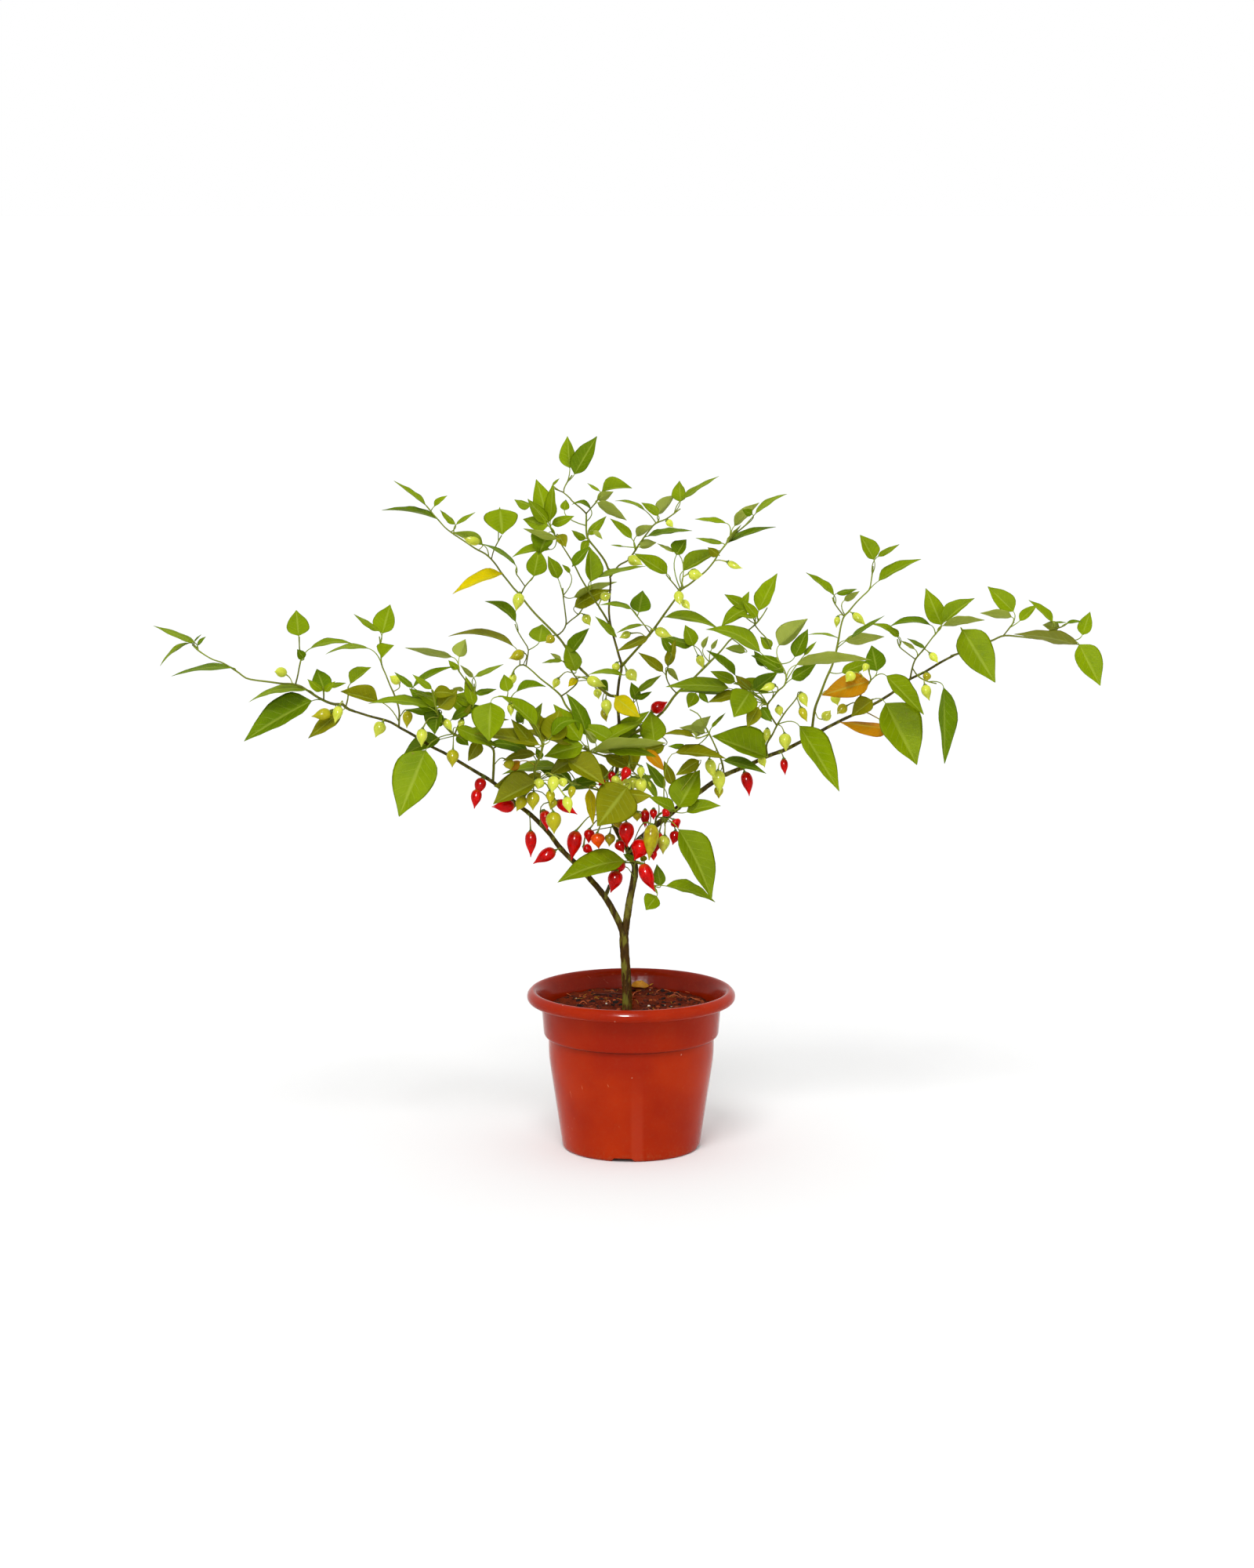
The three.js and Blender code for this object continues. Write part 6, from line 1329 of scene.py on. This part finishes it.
def leaf_material():
    m = Nodes("leaf_green")
    tint = m.attribute("tint", "Color")
    share, across, side = m.split(m.attribute("spot"))
    reach = m.math("ABSOLUTE", across)
    # Side veins leave the midrib in turn, left and right, and curve toward the tip.
    turn = m.times(m.math("SIGN", across), VEIN_STAGGER)
    curve = m.times(m.math("POWER", reach, 0.85), VEIN_CURVE)
    line = m.times(m.math("SUBTRACT", m.math("ADD", share, turn), curve), VEIN_COUNT)
    saw = m.math("ABSOLUTE", m.math("SUBTRACT", m.math("FRACT", line), 0.5))
    vein = m.ramp(saw, 0.09, 0.0)
    fade = m.ramp(reach, 1.0, 0.25)
    vein = m.times(vein, fade)
    midrib = m.ramp(m.math("DIVIDE", reach, m.ramp(share, 0, 1, 1.0, 2.6)), 0.075, 0.02)
    veins = m.math("MAXIMUM", m.times(vein, 0.75), midrib)
    place = m.place()
    broad = m.noise(place, 0.05, 3)
    fine = m.noise(place, 0.55, 4)
    web = m.node(
        "TexVoronoi", {"Vector": place, "Scale": 0.85}, out="Distance", feature="DISTANCE_TO_EDGE")
    dark = m.mix(m.ramp(broad, 0.4, 0.75), tint, m.dyed(tint, (0.72, 0.78, 0.4)))
    bright = m.dyed(tint, (1.3, 1.22, 1.0))
    toned = m.mix(m.ramp(fine, 0.3, 0.75, 0, 0.22), dark, bright)
    light = m.mix(0.7, toned, (0.56, 0.66, 0.1))
    front = m.mix(m.times(veins, 0.5), toned, light)
    pale = m.mix(0.32, toned, (0.34, 0.4, 0.09))
    back = m.mix(m.times(veins, 0.5), pale, (0.46, 0.52, 0.14))
    base = m.mix(m.ramp(side, 0.2, -0.2), front, back)
    # Small dry flecks.
    fleck = m.ramp(m.noise(place, 0.22, 2), 0.735, 0.76)
    base = m.mix(m.times(fleck, 0.5), base, (0.33, 0.24, 0.06))
    swell = m.math("SUBTRACT", m.times(m.ramp(web, 0, 0.25), 0.35), veins)
    normal = m.bump(swell, 0.5, 0.0007)
    normal = m.bump(fine, 0.15, 0.0004, normal)
    surface = m.surface(base, m.ramp(fine, 0.3, 0.7, 0.34, 0.5), normal, 0.02)
    glow = m.node("BsdfTranslucent", {
        "Color": m.dyed(base, (1.35, 1.25, 0.55)), "Normal": normal})
    return m.finish(m.node("MixShader", (GLOW_SHARE, surface, glow)))


def stalk_material():
    m = Nodes("green_stalk")
    tint = m.attribute("tint", "Color")
    place = m.place()
    streak = m.noise(m.node("Mapping", {"Vector": place, "Scale": (1.4, 1.4, 0.25)}), 0.8, 3)
    base = m.mix(m.ramp(streak, 0.3, 0.75, 0, 0.6), tint, m.dyed(tint, (0.55, 0.6, 0.45)))
    dark_patch_and_painted_reflection = m.ramp(m.noise(place, 0.03, 2), 0.4, 0.7, 0, 0.45)
    base = m.mix(dark_patch_and_painted_reflection, base, (0.11, 0.1, 0.02))
    normal = m.bump(streak, 0.35, 0.0004)
    return m.finish(m.surface(base, m.ramp(streak, 0.3, 0.7, 0.42, 0.6), normal, 0.03))


def bark_material():
    m = Nodes("young_bark")
    tint = m.attribute("tint", "Color")
    place = m.place()
    long = m.node("Mapping", {"Vector": place, "Scale": (1.0, 1.0, 0.18)})
    streak = m.noise(long, 0.75, 5, 0.6)
    fine = m.noise(long, 2.4, 4, 0.6)
    blotch = m.noise(m.node("Mapping", {"Vector": place, "Scale": (1, 1, 0.3)}), 0.22, 3)
    base = m.mix(m.ramp(streak, 0.4, 0.65), tint, m.dyed(tint, (0.36, 0.34, 0.32)))
    base = m.mix(m.ramp(blotch, 0.5, 0.62, 0, 0.75), base, (0.2, 0.19, 0.02))
    stretched = m.node("Mapping", {"Vector": place, "Scale": (1, 1, 0.5)})
    spot = m.node("TexVoronoi", {"Vector": stretched, "Scale": 0.35}, out="Distance")
    pore = m.ramp(spot, 0.14, 0.08)
    base = m.mix(m.times(pore, 0.5), base, (0.34, 0.26, 0.1))
    height = m.math("ADD", m.math("ADD", streak, m.times(fine, 0.5)), m.times(pore, 0.5))
    normal = m.bump(height, 0.7, 0.0009)
    return m.finish(m.surface(base, m.ramp(fine, 0.3, 0.7, 0.5, 0.72), normal, 0.03))


def fruit_material(name, rough, flecks):
    m = Nodes(name)
    tint = m.attribute("tint", "Color")
    share = m.split(m.attribute("spot"))[0]
    place = m.place()
    broad = m.noise(place, 0.16, 2)
    base = m.mix(m.ramp(broad, 0.35, 0.7), tint, m.dyed(tint, flecks))
    # The shoulder keeps a trace of green and the tip is a little deeper.
    shoulder = m.ramp(share, 0.16, 0.0, 0, 0.4)
    base = m.mix(shoulder, base, m.mix(0.5, tint, (0.35, 0.3, 0.03)))
    base = m.mix(m.ramp(share, 0.7, 1.0, 0, 0.35), base, m.dyed(tint, (0.75, 0.8, 0.7)))
    fine = m.noise(place, 1.6, 2)
    normal = m.bump(m.math("ADD", broad, m.times(fine, 0.06)), 0.12, 0.0012)
    return m.finish(m.surface(
        base, m.ramp(fine, 0.3, 0.7, rough, rough + 0.08), normal, 0.04, Coat_Weight=0.14,
        Coat_Roughness=0.05, Subsurface_Weight=0.1, Subsurface_Radius=(0.003, 0.0012, 0.0006),
        Subsurface_Scale=1.0))


def pot_material():
    m = Nodes("brick_red_plastic")
    place = m.place()
    across, height, inside = m.split(m.attribute("spot"))
    broad = m.noise(place, 0.018, 3)
    base = m.mix(m.ramp(broad, 0.35, 0.7), colour("a62a02"), colour("941f01"))
    # The collar is a little deeper than the body.
    collar = m.ramp(height, POT_STEP_HEIGHT, POT_STEP_HEIGHT + 3)
    base = m.mix(m.times(collar, 0.4), base, colour("8a1600"))
    # A painted dark reflection in front, on the collar and below it.
    dark_patch_and_painted_reflection = m.ramp(m.math("ABSOLUTE", m.math("SUBTRACT", across, DARK_REFLECTION_PLACE)), 36, 18)
    dark_patch_and_painted_reflection = m.times(dark_patch_and_painted_reflection, m.ramp(height, 80, 94))
    base = m.mix(m.times(dark_patch_and_painted_reflection, m.math("SUBTRACT", 0.45, inside)), base, colour("8a1400"))
    # Painted shade: a dark line in the crease where the collar begins.
    painted_crease_shade = m.ramp(m.math("ABSOLUTE", m.math("SUBTRACT", height, POT_STEP_HEIGHT + 0.4)), 1.3, 0.5)
    base = m.mix(m.times(painted_crease_shade, 0.7), base, colour("4a0c02"))
    # Painted shade: the inside of the mouth is darkened, unevenly.
    painted_inner_shade = m.ramp(m.noise(place, 0.05, 4), 0.3, 0.7, 0.5, 0.8)
    base = m.mix(m.times(inside, painted_inner_shade), base, colour("701400"))
    # A painted highlight: a paler band down the front of the body.
    off_highlight_band = m.math("ABSOLUTE", m.math("SUBTRACT", across, HIGHLIGHT_BAND_PLACE))
    painted_highlight_band = m.times(m.ramp(off_highlight_band, 7, 4), m.ramp(height, 92, 30, 0, 0.26))
    base = m.mix(painted_highlight_band, base, colour("b8452c"))
    # Dust, most of it at the foot, then thin scratches and pale nicks.
    dust = m.noise(place, 0.35, 5, 0.65)
    low = m.ramp(height, 14, 0)
    grime = m.times(m.ramp(dust, 0.5, 0.75), m.math("ADD", m.times(low, 0.5), 0.08))
    base = m.mix(grime, base, (0.26, 0.1, 0.04))
    scratch_space = m.node("Mapping", {
        "Vector": place, "Rotation": (0.5, 0.35, 0.6), "Scale": (0.06, 0.9, 0.07)})
    scratch = m.ramp(m.noise(scratch_space, 1.0, 2), 0.752, 0.785)
    base = m.mix(m.times(scratch, 0.5), base, (0.6, 0.2, 0.1))
    nick = m.ramp(m.noise(place, 0.16, 2), 0.775, 0.79)
    base = m.mix(m.times(nick, 0.6), base, (0.62, 0.4, 0.3))
    rough = m.math("ADD", m.ramp(dust, 0.3, 0.8, 0.13, 0.22), m.times(scratch, 0.3))
    normal = m.bump(broad, 0.12, 0.004)
    normal = m.bump(m.noise(place, 1.2, 2), 0.04, 0.0003, normal)
    return m.finish(m.surface(base, rough, normal, 0.08))


def soil_material():
    m = Nodes("potting_soil")
    place = m.place()
    crumbs = m.noise(place, 0.5, 6, 0.7)
    broad = m.noise(place, 0.07, 3)
    grit = m.node("TexVoronoi", {"Vector": place, "Scale": 0.6}, out="Distance")
    base = m.mix(m.ramp(crumbs, 0.35, 0.7), colour("2a0a01"), colour("762204"))
    base = m.mix(m.ramp(broad, 0.4, 0.7, 0, 0.6), base, colour("842e08"))
    base = m.mix(m.ramp(grit, 0.2, 0.05, 0, 0.5), base, colour("9a4a1c"))
    normal = m.bump(crumbs, 1.0, 0.0022)
    normal = m.bump(grit, 0.5, 0.0012, normal)
    return m.finish(m.surface(base, m.ramp(crumbs, 0.3, 0.8, 0.8, 0.96), normal, 0.03))


def litter_material(name, rough, depth):
    m = Nodes(name)
    tint = m.attribute("tint", "Color")
    place = m.place()
    grain = m.noise(m.node("Mapping", {"Vector": place, "Scale": (0.5, 2.2, 2.2)}), 0.8, 4, 0.6)
    base = m.mix(m.ramp(grain, 0.3, 0.7), m.dyed(tint, (0.55, 0.5, 0.45)), tint)
    rough = m.ramp(grain, 0.3, 0.7, rough, rough + 0.15)
    return m.finish(m.surface(base, rough, m.bump(grain, 0.6, depth), 0.06))


# ---- The plant in its pot ----

draw = np.random.default_rng(SEED)
LEAF = leaf_material()
STALK = stalk_material()
BARK = bark_material()
RIPE = fruit_material("ripe_skin", 0.16, (0.62, 0.5, 0.5))
GREEN = fruit_material("unripe_skin", 0.2, (0.86, 0.9, 0.72))
POT = pot_material()
SOIL = soil_material()

stems = {row[0]: Stem(row) for row in STEMS}
sprays = {}
for stem in stems.values():
    if not stem.wood:
        sprays.setdefault(stem.node, []).append(stem)

for node, members in sprays.items():
    blades, stalks, bodies = Skin(), Skin(), Skin()
    for stem in members:
        for row in LEAVES.get(stem.name, []):
            leaf(blades, stalks, stem, row, draw)
        for row in FRUITS.get(stem.name, []):
            ax, ay, *rest = row
            place, radius = stem.nearest(ax, ay)
            fruit(bodies, stalks, place, 0.5 * radius, place[1], rest, draw)
        stem_skin(stalks, stem, draw)
    stalks.build(node.replace("_spray", "_stalks"), STALK, "foliage", node)
    blades.build(node.replace("_spray", "_leaves"), LEAF, "foliage", node)
    if bodies.count:
        bodies.build(node.replace("_spray", "_fruit"), GREEN, "foliage", node)

for name, host, root_place, rows in BUNCHES:
    bodies, stalks = Skin(), Skin()
    bunch(bodies, stalks, stems[host], root_place, rows, draw)
    ripe = name.startswith("red")
    slot = "ripe_fruit" if ripe else "unripe_fruit"
    bodies.build(name + "_fruit", RIPE if ripe else GREEN, slot, name)
    stalks.build(name + "_stalks", STALK, slot, name)

wood = Skin()
for stem in stems.values():
    if stem.wood:
        stem_skin(wood, stem, draw)
wood.build("woody_stems_bark", BARK, "bark", "woody_stems")

shell = Skin()
pot_skin(shell)
shell.build("nursery_pot", POT, "pot_plastic", "pot")

earth, chips, grains, fibres = Skin(), Skin(), Skin(), Skin()
soil_skin(earth, draw)
litter_skins(chips, grains, fibres, draw)
dry_skins(fibres, grains)
earth.build("soil_bed", SOIL, "potting_soil", "soil")
CHIP = litter_material("bark_chip", 0.75, 0.0008)
GRAIN = litter_material("pale_grain", 0.7, 0.0006)
FIBRE = litter_material("straw_fibre", 0.6, 0.0003)
chips.build("bark_chips", CHIP, "potting_soil", "soil", sharp=True)
grains.build("pale_grains", GRAIN, "potting_soil", "soil")
fibres.build("soil_fibres", FIBRE, "potting_soil", "soil")

# ---- Floor, light and camera ----

FLOOR_HALF = 40.0
FLOOR_GREYS = ((0.785, 0.785, 0.785), (0.765, 0.765, 0.765))
KEY_TOWARD = (-0.12, -0.7, 0.95)
KEY_ANGLE = math.radians(20)
KEY_STRENGTH = 1.45
FLASH_PLACE = (-0.35, -2.7, 1.5)
FLASH_AIM = (0, 0, 0.4)
FLASH_SIZE = 0.3
FLASH_POWER = 480


def make_floor():
    mesh = bpy.data.meshes.new("floor")
    h = FLOOR_HALF
    mesh.from_pydata([(-h, -h, 0), (h, -h, 0), (h, h, 0), (-h, h, 0)], [], [(0, 1, 2, 3)])
    m = Nodes("pale_floor")
    shade = m.mix(m.ramp(m.noise(m.place(1000), 1.5, 2), 0.3, 0.7), *FLOOR_GREYS)
    mesh.materials.append(m.finish(m.surface(shade, 0.9, None, 0.1)))
    floor = bpy.data.objects.new("floor", mesh)
    bpy.context.scene.collection.objects.link(floor)


def light(name, kind, energy):
    data = bpy.data.lights.new(name, kind)
    data.energy = energy
    lamp = bpy.data.objects.new(name, data)
    bpy.context.scene.collection.objects.link(lamp)
    return data, lamp


make_floor()
world = bpy.data.worlds.new("studio")
world.use_nodes = True
world.node_tree.nodes["Background"].inputs["Color"].default_value = (1, 1, 1, 1)
bpy.context.scene.world = world

data, key = light("key", "SUN", KEY_STRENGTH)
data.angle = KEY_ANGLE
key.rotation_euler = Vector(KEY_TOWARD).to_track_quat("Z", "Y").to_euler()

# The flash only makes the small bright glints.
data, flash = light("flash", "AREA", FLASH_POWER)
data.shape, data.size = "DISK", FLASH_SIZE
flash.location = FLASH_PLACE
flash.rotation_euler = (Vector(FLASH_AIM) - Vector(FLASH_PLACE)).to_track_quat("-Z", "Y").to_euler()
flash.visible_diffuse = False
bpy.context.scene.view_settings.view_transform = "Standard"

lens = bpy.data.cameras.new("camera")
lens.sensor_width = SENSOR_MM
lens.lens = FOCAL_PX * SENSOR_MM / PICTURE_HEIGHT
camera = bpy.data.objects.new("camera", lens)
camera.location = EYE * MM
camera.rotation_euler = (math.pi / 2 - PITCH, 0, 0)
bpy.context.scene.collection.objects.link(camera)
bpy.context.scene.camera = camera
